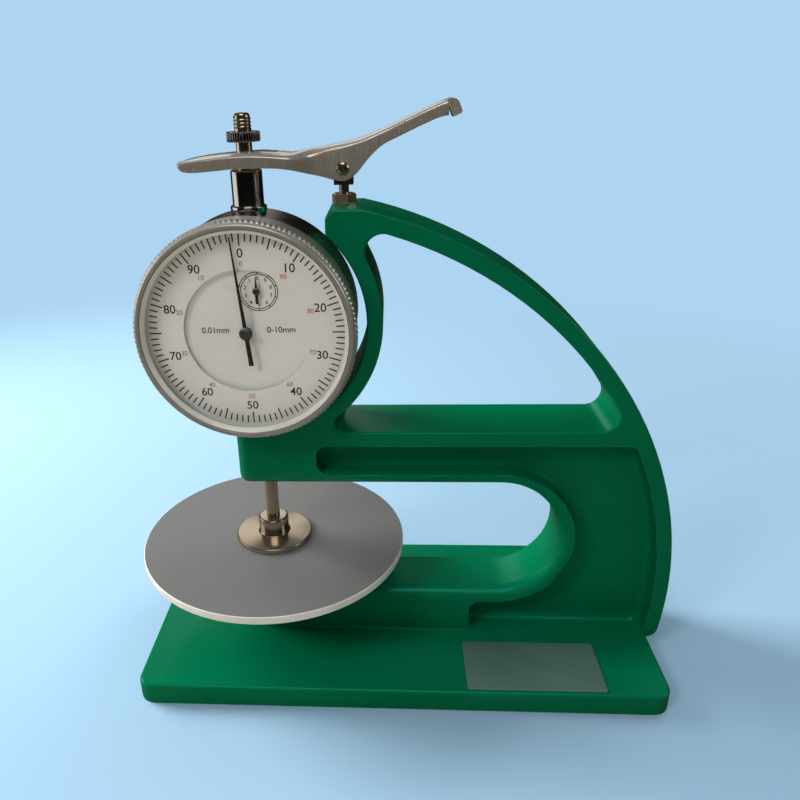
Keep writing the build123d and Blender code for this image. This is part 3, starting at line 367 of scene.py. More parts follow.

# The enamel's pale mint edge colour is thin paint on the edges and a painted highlight along them.
GREEN_ENAMEL = Finish(
    "green_enamel", (0.0, 0.122, 0.050), (0.0, 0.138, 0.058), 0.0, 0.28, 0.05, Grain.PEEL, bump=0.35,
    bump_depth=0.05, wear_and_highlight_colour=(0.05, 0.27, 0.17), wear_and_highlight=0.55, specular=0.4,
    specular_tint=(0.10, 1.0, 0.75))
TABLE_ALUMINIUM = Finish(
    "table_aluminium", (0.22, 0.222, 0.22), (0.25, 0.252, 0.25), 0.5, 0.5, 0.06, Grain.TURNED,
    density=5200.0, bump=0.25, wear_and_highlight_colour=(0.62, 0.63, 0.64), wear_and_highlight=0.5)
TABLE_RIM = Finish(
    "table_rim", (0.78, 0.78, 0.75), (0.86, 0.86, 0.83), 0.3, 0.5, 0.1, density=2600.0, bump=0.4,
    bump_depth=0.03)
SATIN_STEEL = Finish(
    "satin_steel", (0.44, 0.41, 0.37), (0.50, 0.47, 0.43), 1.0, 0.15, 0.04, Grain.TURNED,
    density=7000.0, bump=0.10)
NICKEL_STEEL = Finish(
    "nickel_steel", (0.46, 0.375, 0.265), (0.54, 0.45, 0.33), 0.95, 0.18, 0.05, Grain.TURNED,
    density=7500.0, bump=0.10)
STUD_STEEL = Finish(
    "stud_steel", (0.62, 0.44, 0.31), (0.74, 0.56, 0.41), 0.8, 0.18, 0.06, bump=0.12)
LEVER_NICKEL = Finish(
    "lever_nickel", (0.42, 0.38, 0.33), (0.53, 0.49, 0.43), 0.62, 0.25, 0.07, Grain.BRUSHED,
    density=2600.0, bump=0.30, wear_and_highlight_colour=(0.80, 0.77, 0.71), wear_and_highlight=0.4)
BEZEL_SATIN = Finish(
    "bezel_satin", (0.50, 0.48, 0.43), (0.60, 0.58, 0.53), 0.7, 0.34, 0.06, Grain.TURNED, Lay.ALONG_Y,
    density=6500.0, bump=0.2, bump_depth=0.012)
BEZEL_CONE = Finish(
    "bezel_cone", (0.62, 0.615, 0.56), (0.68, 0.675, 0.62), 0.15, 0.42, 0.06, Grain.TURNED,
    Lay.ALONG_Y, density=6500.0, bump_depth=0.01)
CASE_METAL = Finish(
    "case_metal", (0.30, 0.28, 0.26), (0.38, 0.36, 0.34), 1.0, 0.30, 0.06, Grain.TURNED, Lay.ALONG_Y,
    density=5200.0, bump=0.2, bump_depth=0.012)
PLATE_METAL = Finish(
    "plate_metal", (0.11, 0.21, 0.19), (0.15, 0.26, 0.235), 0.45, 0.46, 0.07, Grain.BRUSHED,
    Lay.ALONG_X, density=4200.0, bump=0.2, bump_depth=0.012)
DIAL_WHITE = Finish(
    "dial_white", (0.67, 0.668, 0.648), (0.70, 0.698, 0.678), 0.0, 0.52, 0.05, bump=0.08,
    bump_depth=0.01)
DIAL_BLACK = Finish("dial_black", (0.010, 0.010, 0.010), (0.018, 0.017, 0.016), 0.0, 0.5, 0.06, bump=0.05)
DIAL_RED = Finish("dial_red", (0.42, 0.10, 0.10), (0.48, 0.13, 0.12), 0.0, 0.5, 0.06, bump=0.05)
HAND_BLACK = Finish("hand_black", (0.008, 0.008, 0.009), (0.014, 0.014, 0.014), 0.0, 0.34, 0.08, bump=0.06)
HUB_STEEL = Finish(
    "hub_steel", (0.10, 0.10, 0.09), (0.17, 0.17, 0.15), 0.8, 0.34, 0.08, Grain.TURNED, Lay.ALONG_Y)
BRASS = Finish(
    "brass_parts", (0.60, 0.42, 0.17), (0.70, 0.50, 0.22), 1.0, 0.3, 0.08, Grain.BRUSHED, Lay.ALONG_X,
    density=3600.0, bump=0.18)
DARK_STEEL = Finish("dark_steel", (0.10, 0.10, 0.105), (0.15, 0.15, 0.155), 1.0, 0.3, 0.08, bump=0.12)
DARK_NICKEL = Finish("dark_nickel", (0.30, 0.28, 0.26), (0.40, 0.38, 0.35), 1.0, 0.18, 0.06, bump=0.12)
CRYSTAL = ClearFinish()

SLOT_FINISHES: dict[str, AnyFinish] = {finish.name: finish for finish in (
    GREEN_ENAMEL, PLATE_METAL, SATIN_STEEL, TABLE_ALUMINIUM, BRASS, DARK_STEEL, NICKEL_STEEL, CASE_METAL,
    DIAL_WHITE, HAND_BLACK, LEVER_NICKEL)} | {"crystal_glass": CRYSTAL}


# Helpers that turn a bmesh in millimetres into a piece of the scene


def to_object(name: str, mesh: BMesh) -> bpy.types.Object:
    """Move a bmesh into a new object of the scene.

    Args:
        name: the object's name.
        mesh: its bmesh, which is freed.

    Returns:
        The object.
    """
    data = bpy.data.meshes.new(name)
    mesh.to_mesh(data)
    mesh.free()
    piece = bpy.data.objects.new(name, data)
    bpy.context.scene.collection.objects.link(piece)
    return piece


def settle(name: str, mesh: BMesh, finish: AnyFinish, body: str,
           replaces: Sequence[str] = (), sharp_angle: float = 32.0) -> bpy.types.Object:
    """Finish a piece: merge, turn its faces out, scale to metres, dress it and hang it on its body.

    Args:
        name: the piece's name.
        mesh: its bmesh, in millimetres, which is freed.
        finish: its finish.
        body: the CAD body it moves with.
        replaces: CAD nodes it stands for.
        sharp_angle: edges steeper than this, in degrees, stay sharp.

    Returns:
        The piece's object.
    """
    bmesh.ops.remove_doubles(mesh, verts=mesh.verts, dist=MERGE_GAP)
    bmesh.ops.dissolve_degenerate(mesh, edges=mesh.edges, dist=MERGE_GAP)
    bmesh.ops.recalc_face_normals(mesh, faces=mesh.faces)
    bmesh.ops.scale(mesh, vec=(MM, MM, MM), verts=mesh.verts)
    piece = to_object(name, mesh)
    piece.data.polygons.foreach_set("use_smooth", [True] * len(piece.data.polygons))
    piece.data.set_sharp_from_angle(angle=math.radians(sharp_angle))
    piece.data.materials.append(finish.build())
    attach(piece, body)
    if replaces:
        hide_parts(*replaces)
    log.info("%s: %d faces on %s", name, len(piece.data.polygons), body)
    return piece


def applied(piece: bpy.types.Object) -> BMesh:
    """Read an object's shape with its modifiers applied, and remove the object.

    Args:
        piece: an object that isn't needed afterwards.

    Returns:
        The final shape.
    """
    bpy.context.view_layer.update()
    graph = bpy.context.evaluated_depsgraph_get()
    data = bpy.data.meshes.new_from_object(piece.evaluated_get(graph))
    bpy.data.objects.remove(piece)
    mesh = bmesh.new()
    mesh.from_mesh(data)
    bpy.data.meshes.remove(data)
    return mesh


def join(meshes: Iterable[BMesh]) -> BMesh:
    """Join bmeshes into one, and free them.

    Args:
        meshes: the bmeshes.

    Returns:
        One bmesh.
    """
    whole = bmesh.new()
    for mesh in meshes:
        data = bpy.data.meshes.new("part")
        mesh.to_mesh(data)
        mesh.free()
        whole.from_mesh(data)
        bpy.data.meshes.remove(data)
    return whole


def soften(mesh: BMesh, geom: Sequence[BMEdge | BMVert], offset: float, segments: int,
           affect: str = "EDGES", clamp: bool = True) -> None:
    """Round edges or corners.

    Args:
        mesh: the bmesh.
        geom: the edges or corners.
        offset: how far the rounding reaches.
        segments: how many steps it has.
        affect: EDGES or VERTICES.
        clamp: whether roundings stop where they meet.
    """
    bmesh.ops.bevel(mesh, geom=geom, offset=offset, offset_type="OFFSET", segments=segments, profile=0.5,
                    affect=affect, clamp_overlap=clamp, material=-1)


def put(mesh: BMesh, verts: Sequence[BMVert], turn: float, way: str, move: Sequence[float]) -> None:
    """Turn vertices about an axis through the origin, then move them.

    Args:
        mesh: the bmesh.
        verts: its vertices.
        turn: the angle in radians.
        way: the axis, X, Y or Z.
        move: how far they move.
    """
    bmesh.ops.rotate(mesh, verts=verts, cent=(0, 0, 0), matrix=Matrix.Rotation(turn, 3, way))
    bmesh.ops.translate(mesh, verts=verts, vec=move)


def box(mesh: BMesh, size: Sequence[float]) -> list[BMVert]:
    """Add a box round the origin.

    Args:
        mesh: the bmesh.
        size: its size.

    Returns:
        Its vertices.
    """
    verts = bmesh.ops.create_cube(mesh, size=1.0)["verts"]
    bmesh.ops.scale(mesh, vec=size, verts=verts)
    return verts


def chain(mesh: BMesh, points: Iterable[Sequence[float]]) -> list[BMVert | BMEdge]:
    """Add a line through points.

    Args:
        mesh: the bmesh.
        points: the points in order.

    Returns:
        Its vertices and edges.
    """
    verts = [mesh.verts.new(point) for point in points]
    return verts + [mesh.edges.new(pair) for pair in zip(verts, verts[1:])]


class Axis(Enum):
    """The axis that a turned piece is turned about."""

    UPRIGHT = "z"
    FACING = "y"

    def directions(self, x: float, z: float) -> tuple[Vector, Vector, Vector]:
        """Give the axis of a piece at X, and at Z when it faces the reader.

        Args:
            x: the axis's X.
            z: the facing axis's Z.

        Returns:
            A point on the axis, its direction and the direction of the profile.
        """
        if self is Axis.UPRIGHT:
            return Vector((x, 0, 0)), Vector((0, 0, 1)), Vector((1, 0, 0))
        return Vector((x, 0, z)), Vector((0, 1, 0)), Vector((0, 0, 1))


def turned(corners: Sequence[Corner], axis: Axis, x: float = 0.0, z: float = DIAL_Z,
           steps: int = 96) -> BMesh:
    """Turn a closed profile with rounded corners, without the edges that lie on the axis.

    Args:
        corners: radius, height and rounding of each corner; on a facing axis height is Y.
        axis: which way the axis runs.
        x: the axis's X.
        z: the facing axis's Z.
        steps: how many steps make the full turn.

    Returns:
        The turned bmesh, in millimetres.
    """
    mesh = bmesh.new()
    centre, way, side = axis.directions(x, z)
    verts = [mesh.verts.new(centre + side * radius + way * height) for radius, height, _ in corners]
    mesh.faces.new(verts)
    for vert, (_, _, rounding) in zip(verts, corners):
        if rounding:
            soften(mesh, [vert], rounding, 4, "VERTICES")
    bmesh.ops.delete(mesh, geom=list(mesh.faces), context="FACES_ONLY")
    on_axis = {vert for vert in mesh.verts if abs((vert.co - centre).dot(side)) < 1e-6}
    spare = [edge for edge in mesh.edges if on_axis.issuperset(edge.verts)]
    bmesh.ops.delete(mesh, geom=spare, context="EDGES")
    edges = list(mesh.edges)
    verts = list({vert for edge in edges for vert in edge.verts})
    bmesh.ops.spin(mesh, geom=verts + edges, cent=centre, axis=way, angle=FULL_TURN, steps=steps,
                   use_merge=True)
    return mesh


def serrate(mesh: BMesh, axis: Axis, count: int, depth: float, outside: float, low: float,
            high: float) -> None:
    """Press scalloped teeth into a turned rim, whose turn had some steps for each tooth.

    Args:
        mesh: the turned bmesh.
        axis: the axis it was turned about.
        count: how many teeth.
        depth: the teeth's depth.
        outside: only points farther out than this move.
        low: lowest place along the axis.
        high: highest place along the axis.
    """
    centre, way, start = axis.directions(0.0, DIAL_Z)
    side = way.cross(start)
    for vert in mesh.verts:
        offset = vert.co - centre
        along = offset.dot(way)
        flat = offset - way * along
        if flat.length < outside or not low <= along <= high:
            continue
        wave = 0.5 - 0.5 * math.cos(count * math.atan2(flat.dot(side), flat.dot(start)))
        vert.co -= flat.normalized() * depth * wave ** 2


def printed_text(words: str, height: float, x: float, z: float, y: float) -> BMesh:
    """Make words as thin ink that faces the reader.

    Args:
        words: the text.
        height: its size.
        x: the middle's X.
        z: the middle's Z.
        y: the Y of the surface it is printed on.

    Returns:
        The ink's bmesh, in millimetres.
    """
    half_ink, heavier = 0.006, 0.012
    curve = bpy.data.curves.new("ink", "FONT")
    curve.body = words
    curve.size = height
    curve.align_x = curve.align_y = "CENTER"
    curve.extrude = half_ink
    curve.offset = height * heavier
    curve.resolution_u = 4
    holder = bpy.data.objects.new("ink", curve)
    bpy.context.scene.collection.objects.link(holder)
    mesh = applied(holder)
    bpy.data.curves.remove(curve)
    put(mesh, mesh.verts, math.pi / 2, "X", (x, y - half_ink, z))
    return mesh


# The gauge's sub-assemblies


@dataclass(frozen=True)
class TurnedPiece:
    """One turned piece of the gauge, given by its profile."""

    name: str
    replaces: tuple[str, ...]
    body: str
    slot: str
    finish: AnyFinish
    corners: tuple[Corner, ...]
    axis: Axis = Axis.UPRIGHT
    x: float = 0.0
    z: float = DIAL_Z
    steps: int = 96

    def build(self) -> bpy.types.Object:
        """Turn the piece and hang it on its body.

        Returns:
            The piece's object.
        """
        mesh = turned(self.corners, self.axis, self.x, self.z, self.steps)
        return settle(self.name, mesh, self.finish, self.body, self.replaces)


@dataclass
class CastFrame:
    """The enamelled casting: base, rail, throat, column, beam, arch and head."""

    half_thickness: float = 10.15
    foot_fillet: float = 1.4
    rim_round: float = 0.55
    merge_gap: float = 0.002
    flat_angle: float = 0.6
    steep_angle: float = 40.0

    def corners(self, mesh: BMesh, at_foot: bool) -> list[BMEdge]:
        """Find the inner corners round the upright's foot, or the sharp outer rims of its pockets.

        Args:
            mesh: the casting.
            at_foot: whether the inner corners are wanted.

        Returns:
            The edges.
        """
        found = []
        for edge in mesh.edges:
            if len(edge.link_faces) != 2:
                continue
            if at_foot:
                near = all(abs(vert.co.z - BASE_TOP) < 0.01 for vert in edge.verts)
            else:
                near = all(abs(abs(vert.co.y) - self.half_thickness) < 0.02 for vert in edge.verts)
            turn = math.degrees(edge.calc_face_angle_signed(0.0)) * (-1 if at_foot else 1)
            if near and turn > self.steep_angle:
                found.append(edge)
        return found

    def build(self) -> None:
        """Soften the CAD casting: fillets where it meets the base and round rims on its pockets."""
        mesh = bmesh.new()
        mesh.from_mesh(frame["nodes"]["frame_casting"].data)
        bmesh.ops.scale(mesh, vec=(1 / MM, 1 / MM, 1 / MM), verts=mesh.verts)
        bmesh.ops.remove_doubles(mesh, verts=mesh.verts, dist=self.merge_gap)
        bmesh.ops.dissolve_limit(mesh, angle_limit=math.radians(self.flat_angle), verts=mesh.verts,
                                 edges=mesh.edges, delimit={"NORMAL"})
        soften(mesh, self.corners(mesh, True), self.foot_fillet, 5, clamp=False)
        soften(mesh, self.corners(mesh, False), self.rim_round, 3)
        piece = settle("cast_frame", mesh, GREEN_ENAMEL, "frame", ("frame_casting",), 40.0)
        piece.modifiers.new("even_faces", "WEIGHTED_NORMAL").keep_sharp = True


@dataclass
class MeasuringTable:
    """The round aluminium table on its turned post, and the bare plate on the base."""

    radius: float = 40.0
    bottom: float = 32.2
    top: float = 34.6
    post_radius: float = 8.0
    spigot_radius: float = 4.0
    spigot_bottom: float = 11.0
    seat_depth: float = 1.0
    plate_middle: Point2 = (77.0, -25.6)
    plate_size: Point2 = (38.6, 19.2)
    plate_thickness: float = 0.4

    def table(self) -> None:
        """Turn the table, with a paler rim, and its post."""
        seat, hole = self.bottom + self.seat_depth, self.post_radius + FIT_GAP
        disc = TurnedPiece(
            "measuring_table", ("table_disc",), "frame", "table_aluminium", TABLE_ALUMINIUM,
            ((0.0, seat, 0.0), (hole, seat, 0.0), (hole, self.bottom, 0.0), (self.radius, self.bottom, 0.3),
             (self.radius, self.top, 0.35), (0.0, self.top, 0.0)), steps=180).build()
        disc.data.materials.append(TABLE_RIM.build())
        for face in disc.data.polygons:
            outside = (face.center / MM).xy.length > self.radius - 1
            face.material_index = int(outside and abs(face.normal.z) < 0.9)
        TurnedPiece(
            "turned_post", ("table_post",), "frame", "satin_steel", SATIN_STEEL,
            ((0.0, self.spigot_bottom, 0.0), (self.spigot_radius, self.spigot_bottom, 0.4),
             (self.spigot_radius, RAIL_TOP, 0.0), (self.post_radius, RAIL_TOP, 0.3),
             (self.post_radius, seat, 0.0), (0.0, seat, 0.0))).build()

    def plate(self) -> None:
        """Cut the bare plate, with rounded corners and a rolled edge."""
        mesh = bmesh.new()
        box(mesh, (*self.plate_size, self.plate_thickness))
        upright = [edge for edge in mesh.edges if abs(edge.verts[0].co.z - edge.verts[1].co.z) > 0.1]
        soften(mesh, upright, 0.8, 6)
        rim = [edge for edge in mesh.edges if all(vert.co.z > 0.1 for vert in edge.verts)]
        soften(mesh, rim, 0.14, 3)
        height = BASE_TOP + self.plate_thickness / 2
        bmesh.ops.translate(mesh, verts=mesh.verts, vec=(*self.plate_middle, height))
        settle("bare_plate", mesh, PLATE_METAL, "frame", ("blank_plate",))

    def build(self) -> None:
        """Build the table and the plate."""
        self.table()
        self.plate()


@dataclass
class SpindleGroup:
    """The spindle's foot, its knurled lifting nut and the thread on its end."""

    foot_bottom: float = 34.65
    foot_top: float = 36.15
    hub_top: float = 41.55
    foot_radius: float = 11.6
    hub_radius: float = 4.5
    stud_radius: float = 1.25
    stud_length: float = 4.0
    spindle_radius: float = 2.0
    nut_bottom: float = 149.6
    nut_top: float = 152.0
    nut_radius: float = 4.2
    knurls: int = 40
    knurl_depth: float = 0.2
    thread_top: float = 155.1
    thread_pitch: float = 0.8
    thread_steps: int = 28

    def foot(self) -> None:
        """Turn the foot with its hub and the stud inside the spindle."""
        stud_top = self.hub_top + self.stud_length
        TurnedPiece(
            "turned_foot", ("presser_foot",), "spindle", "nickel_steel", NICKEL_STEEL,
            ((0.0, self.foot_bottom, 0.0), (self.foot_radius, self.foot_bottom, 0.3),
             (self.foot_radius, self.foot_top, 0.35), (self.hub_radius, self.foot_top, 0.5),
             (self.hub_radius, self.hub_top, 0.55), (self.stud_radius, self.hub_top, 0.0),
             (self.stud_radius, stud_top, 0.0), (0.0, stud_top, 0.0)), steps=128).build()

    def nut(self) -> None:
        """Turn the lifting nut and press the knurl into its rim."""
        bore = self.spindle_radius + FIT_GAP
        mesh = turned(((bore, self.nut_bottom, 0.15), (self.nut_radius, self.nut_bottom, 0.3),
                       (self.nut_radius, self.nut_top, 0.3), (bore, self.nut_top, 0.25)),
                      Axis.UPRIGHT, steps=self.knurls * 8)
        serrate(mesh, Axis.UPRIGHT, self.knurls, self.knurl_depth, self.nut_radius - 0.25,
                self.nut_bottom - 1, self.nut_top + 1)
        settle("knurled_nut", mesh, DARK_NICKEL, "spindle", ("lifting_nut",), 50.0)

    def thread(self) -> None:
        """Wind the thread's ridge round the spindle's end, above the nut."""
        count = int((self.thread_top - self.nut_top - 0.2) / self.thread_pitch * self.thread_steps)
        root, crest, start = self.spindle_radius - 0.08, self.spindle_radius + 0.2, self.nut_top + 0.1
        mesh = bmesh.new()
        ridge = chain(mesh, ((root, 0.0, start), (crest, 0.0, start + 0.24), (crest, 0.0, start + 0.36),
                             (root, 0.0, start + 0.6)))
        bmesh.ops.spin(mesh, geom=ridge, cent=(0, 0, 0), axis=(0, 0, 1),
                       dvec=(0, 0, self.thread_pitch / self.thread_steps),
                       angle=FULL_TURN * count / self.thread_steps, steps=count, use_merge=False)
        settle("spindle_thread", mesh, NICKEL_STEEL, "spindle", (), 50.0)

    def build(self) -> None:
        """Build the foot, the nut and the thread."""
        self.foot()
        self.nut()
        self.thread()


@dataclass
class IndicatorBody:
    """The indicator's stem, tube, bezel, crystal, back cover and small screws."""

    tube_radius: float = 4.0
    stem_span: Point2 = (58.4, 80.05)
    stem_bore: float = 3.0
    tube_span: Point2 = (130.95, 143.0)
    tube_bore: float = 2.7
    collar_span: Point2 = (132.77, 134.37)
    collar_radius: float = 4.65
    bezel_radius: float = 28.25
    rim_radius: float = 27.7
    cone_outer: float = 26.1
    bezel_opening: float = 25.15
    bezel_front: float = -20.9
    teeth_front: float = -19.3
    teeth_back: float = -16.9
    bezel_back: float = -9.7
    skirt_radius: float = 26.35
    skirt_outer: float = 27.75
    teeth: int = 132
    tooth_depth: float = 0.38
    crystal_radius: float = 26.08
    crystal_front: float = -19.3
    crystal_back: float = -18.4
    crystal_rise: float = 0.35
    crystal_flat: float = 0.95
    cover_front: float = 7.6
    cover_back: float = 8.8
    cover_radius: float = 26.25
    screw_circle: float = 23.75
    screw_count: int = 4
    screw_radius: float = 0.8
    screw_length: float = 2.6
    screw_head: Point2 = (1.5, 0.6)
    screw_slot: Corner = (4.0, 0.7, 0.42)

    def tubes(self) -> None:
        """Turn the lower stem and the upper tube with its collar."""
        (low, high), wide = self.stem_span, self.tube_radius
        TurnedPiece(
            "stem_tube", ("lower_stem",), "frame", "satin_steel", SATIN_STEEL,
            ((self.stem_bore, low, 0.2), (wide, low, 0.4), (wide, high, 0.0),
             (self.stem_bore, high, 0.0))).build()
        (low, high), (under, over) = self.tube_span, self.collar_span
        TurnedPiece(
            "top_tube", ("upper_tube",), "frame", "satin_steel", SATIN_STEEL,
            ((self.tube_bore, low, 0.0), (wide, low, 0.0), (wide, under, 0.0),
             (self.collar_radius, under, 0.25), (self.collar_radius, over, 0.3), (wide, over, 0.15),
             (wide, high, 0.4), (self.tube_bore, high, 0.2))).build()

    def bezel(self) -> None:
        """Turn the bezel with its white cone, and press its teeth."""
        rim, cone, front, seat = self.rim_radius, self.cone_outer, self.bezel_front, self.crystal_front
        mesh = turned(
            ((self.skirt_radius, self.bezel_back, 0.1), (self.skirt_outer, self.bezel_back, 0.25),
             (self.skirt_outer, self.teeth_back, 0.1), (self.bezel_radius, self.teeth_back - 0.3, 0.15),
             (self.bezel_radius, self.teeth_front, 0.2), (rim, self.teeth_front - 0.4, 0.1),
             (rim - 0.1, front + 0.5, 0.3), (rim - 0.5, front, 0.25), (cone + 0.22, front, 0.1),
             (cone + 0.18, front + 0.55, 0.0), (cone, front + 0.55, 0.0), (cone, front + 0.25, 0.06),
             (self.bezel_opening, seat - 0.15, 0.08), (self.bezel_opening, seat, 0.0),
             (self.crystal_radius + FIT_GAP, seat, 0.0),
             (self.crystal_radius + FIT_GAP, self.crystal_back, 0.0),
             (self.skirt_radius, self.crystal_back, 0.0)),
            Axis.FACING, steps=self.teeth * 6)
        serrate(mesh, Axis.FACING, self.teeth, self.tooth_depth, self.skirt_outer + 0.05,
                self.teeth_front - 0.45, self.teeth_back)
        piece = settle("serrated_bezel", mesh, BEZEL_SATIN, "bezel_assembly", ("bezel",), 45.0)
        piece.data.materials.append(BEZEL_CONE.build())
        for face in piece.data.polygons:
            middle = face.center / MM
            radius = math.hypot(middle.x, middle.z - DIAL_Z)
            face.material_index = int(self.bezel_opening - 0.2 < radius < cone + FIT_GAP and middle.y < seat)

    def crystal(self) -> None:
        """Turn the slightly domed crystal."""
        flat, front, back = self.crystal_flat, self.crystal_front, self.crystal_back
        dome = [(self.crystal_radius * share, front - self.crystal_rise * (1 - (share / flat) ** 2), 0.0)
                for share in (0.0, 0.2, 0.4, 0.6, 0.8, flat)]
        TurnedPiece(
            "domed_crystal", ("crystal",), "bezel_assembly", "crystal_glass", CRYSTAL,
            (*dome, (self.crystal_radius, front, 0.0), (self.crystal_radius, back, 0.0), (0.0, back, 0.0)),
            Axis.FACING, steps=128).build()

    def cover(self) -> None:
        """Turn the back cover, with a shallow step and a centre dimple, and its four slotted screws."""
        radius, back = self.cover_radius, self.cover_back
        TurnedPiece(
            "stepped_cover", ("back_cover",), "frame", "case_metal", CASE_METAL,
            ((0.0, self.cover_front, 0.0), (radius, self.cover_front, 0.0), (radius, back - 0.1, 0.35),
             (radius - 5.2, back - 0.1, 0.1), (radius - 5.4, back - 0.45, 0.1),
             (radius - 6.2, back - 0.45, 0.1), (radius - 6.5, back, 0.15), (3.0, back, 0.1),
             (2.2, back - 0.35, 0.3), (0.0, back - 0.35, 0.0)),
            Axis.FACING, steps=128).build()
        for number in range(1, self.screw_count + 1):
            angle = math.radians(45 + 90 * number)
            self.screw(number, self.screw_circle * math.cos(angle),
                       DIAL_Z + self.screw_circle * math.sin(angle), math.radians(25 + 47 * number))

    def screw(self, number: int, x: float, z: float, slot_turn: float) -> None:
        """Make one cheese-head screw with a driver's slot.

        Args:
            number: which cover screw it is.
            x: its X.
            z: its Z.
            slot_turn: how far its slot is turned, in radians.
        """
        (head, rise), shank, back = self.screw_head, self.screw_radius, self.cover_back
        mesh = turned(((0.0, back - self.screw_length, 0.0), (shank, back - self.screw_length, 0.0),
                       (shank, back - 0.1, 0.0), (head, back - 0.1, 0.0), (head, back + rise, 0.22),
                       (0.0, back + rise, 0.0)), Axis.FACING, x, z, 40)
        bmesh.ops.remove_doubles(mesh, verts=mesh.verts, dist=MERGE_GAP)
        bmesh.ops.recalc_face_normals(mesh, faces=mesh.faces)
        slot = bmesh.new()
        put(slot, box(slot, self.screw_slot), slot_turn, "Y", (x, back + rise, z))
        bmesh.ops.recalc_face_normals(slot, faces=slot.faces)
        piece, cutter = to_object("screw_blank", mesh), to_object("slot_cutter", slot)
        cut = piece.modifiers.new("slot", "BOOLEAN")
        cut.operation = "DIFFERENCE"
        cut.object = cutter
        mesh = applied(piece)
        bpy.data.objects.remove(cutter)
        settle(f"slotted_screw_{number}", mesh, DARK_STEEL, "frame",
               (f"cover_screw_{number}",))

    def build(self) -> None:
        """Build the indicator's outside."""
        self.tubes()
        self.bezel()
        self.crystal()
        self.cover()


@dataclass
class DialPrint:
    """Printing on the scale ring, the inner dial and the small counter dial, and the hands' caps."""

    scale_front: float = -16.4
    inner_front: float = -15.2
    tick_outer: float = 24.86
    tick_width: float = 0.36
    short_tick: float = 2.1
    long_tick: float = 3.1
    number_radius: float = 19.9
    number_size: float = 3.1
    red_radius: float = 17.35
    red_size: float = 1.75
    units_size: float = 2.2
    counter_axis: Point2 = (3.2416, 115.951)
    counter_print: Point2 = (3.55, 115.7)
    counter_outer: float = 4.85
    counter_inner: float = 4.3
    counter_line: float = 0.22
    counter_number_radius: float = 3.35
    counter_number_size: float = 1.4
    ink: float = 0.012

    def on_dial(self, radius: float, share: float, middle: Point2) -> Point2:
        """Give the X and Z of a place at a share of a turn, clockwise from the top of a dial.

        Args:
            radius: the distance from the middle.
            share: the share of a full turn.
            middle: the middle's X and Z.

        Returns:
            The place's X and Z.
        """
        turn = share * FULL_TURN
        return middle[0] + radius * math.sin(turn), middle[1] + radius * math.cos(turn)

    def ticks(self, lengths: Sequence[float], outer: float, width: float, middle: Point2,
              front: float) -> BMesh:
        """Print a ring of tick marks.

        Args:
            lengths: the length of each tick.
            outer: the radius of their outer ends.
            width: their width.
            middle: the ring's middle.
            front: the Y of the surface.

        Returns:
            The ink's bmesh.
        """
        mesh = bmesh.new()
        for index, length in enumerate(lengths):
            share = index / len(lengths)
            x, z = self.on_dial(outer - length / 2, share, middle)
            put(mesh, box(mesh, (width, self.ink, length)), share * FULL_TURN, "Y",
                (x, front - self.ink / 2, z))
        return mesh

    def ring(self, radius: float) -> BMesh:
        """Print a thin circle of the counter dial.

        Args:
            radius: its radius.

        Returns:
            The ink's bmesh.
        """
        half, back = self.counter_line / 2, self.inner_front
        return turned(((radius - half, back - self.ink, 0.0), (radius + half, back - self.ink, 0.0),
                       (radius + half, back, 0.0), (radius - half, back, 0.0)),
                      Axis.FACING, *self.counter_print)

    def scale(self) -> None:
        """Print the outer scale: a hundred ticks, black numbers and small red numbers the other way."""
        middle = (0.0, DIAL_Z)
        lengths = [self.short_tick if index % 5 else self.long_tick for index in range(100)]
        black = [self.ticks(lengths, self.tick_outer, self.tick_width, middle, self.scale_front)]
        red = []
        for tens in range(10):
            x, z = self.on_dial(self.number_radius, tens / 10, middle)
            black.append(printed_text(str(tens * 10), self.number_size, x, z, self.scale_front))
            x, z = self.on_dial(self.red_radius, tens / 10, middle)
            words = str((100 - tens * 10) % 100)
            red.append(printed_text(words, self.red_size, x, z, self.scale_front))
        settle("scale_print", join(black), DIAL_BLACK, "bezel_assembly")
        settle("scale_red_numbers", join(red), DIAL_RED, "bezel_assembly")

    def inner(self) -> None:
        """Print the units on the inner dial, and the small counter dial."""
        middle, front = self.counter_print, self.inner_front
        marks = [
            printed_text("0.01mm", self.units_size, -8.1, DIAL_Z + 0.3, front),
            printed_text("0-10mm", self.units_size, 8.7, DIAL_Z + 0.3, front),
            self.ring(self.counter_outer),
            self.ring(self.counter_inner),
            self.ticks([self.counter_outer - self.counter_inner] * 10, self.counter_outer,
                       self.counter_line, middle, front),
        ]
        for number in range(10):
            x, z = self.on_dial(self.counter_number_radius, -number / 10, middle)
            marks.append(printed_text(str(number), self.counter_number_size, x, z, front))
        settle("inner_dial_print", join(marks), DIAL_BLACK, "frame")

    def caps(self) -> None:
        """Turn the domed caps over both hands' hubs."""
        TurnedPiece(
            "pointer_cap", (), "centre_arbor", "hand_black", HUB_STEEL,
            ((0.0, -17.34, 0.0), (1.7, -17.34, 0.0), (1.7, -17.6, 0.12), (1.2, -17.85, 0.2),
             (0.0, -17.95, 0.0)), Axis.FACING, steps=64).build()
        TurnedPiece(
            "counter_cap", (), "takeup_arbor", "hand_black", HUB_STEEL,
            ((0.0, -16.14, 0.0), (0.95, -16.14, 0.0), (0.95, -16.3, 0.08), (0.7, -16.45, 0.1),
             (0.0, -16.5, 0.0)), Axis.FACING, *self.counter_axis, 48).build()

    def build(self) -> None:
        """Print the dials and cap the hands."""
        self.scale()
        self.inner()
        self.caps()


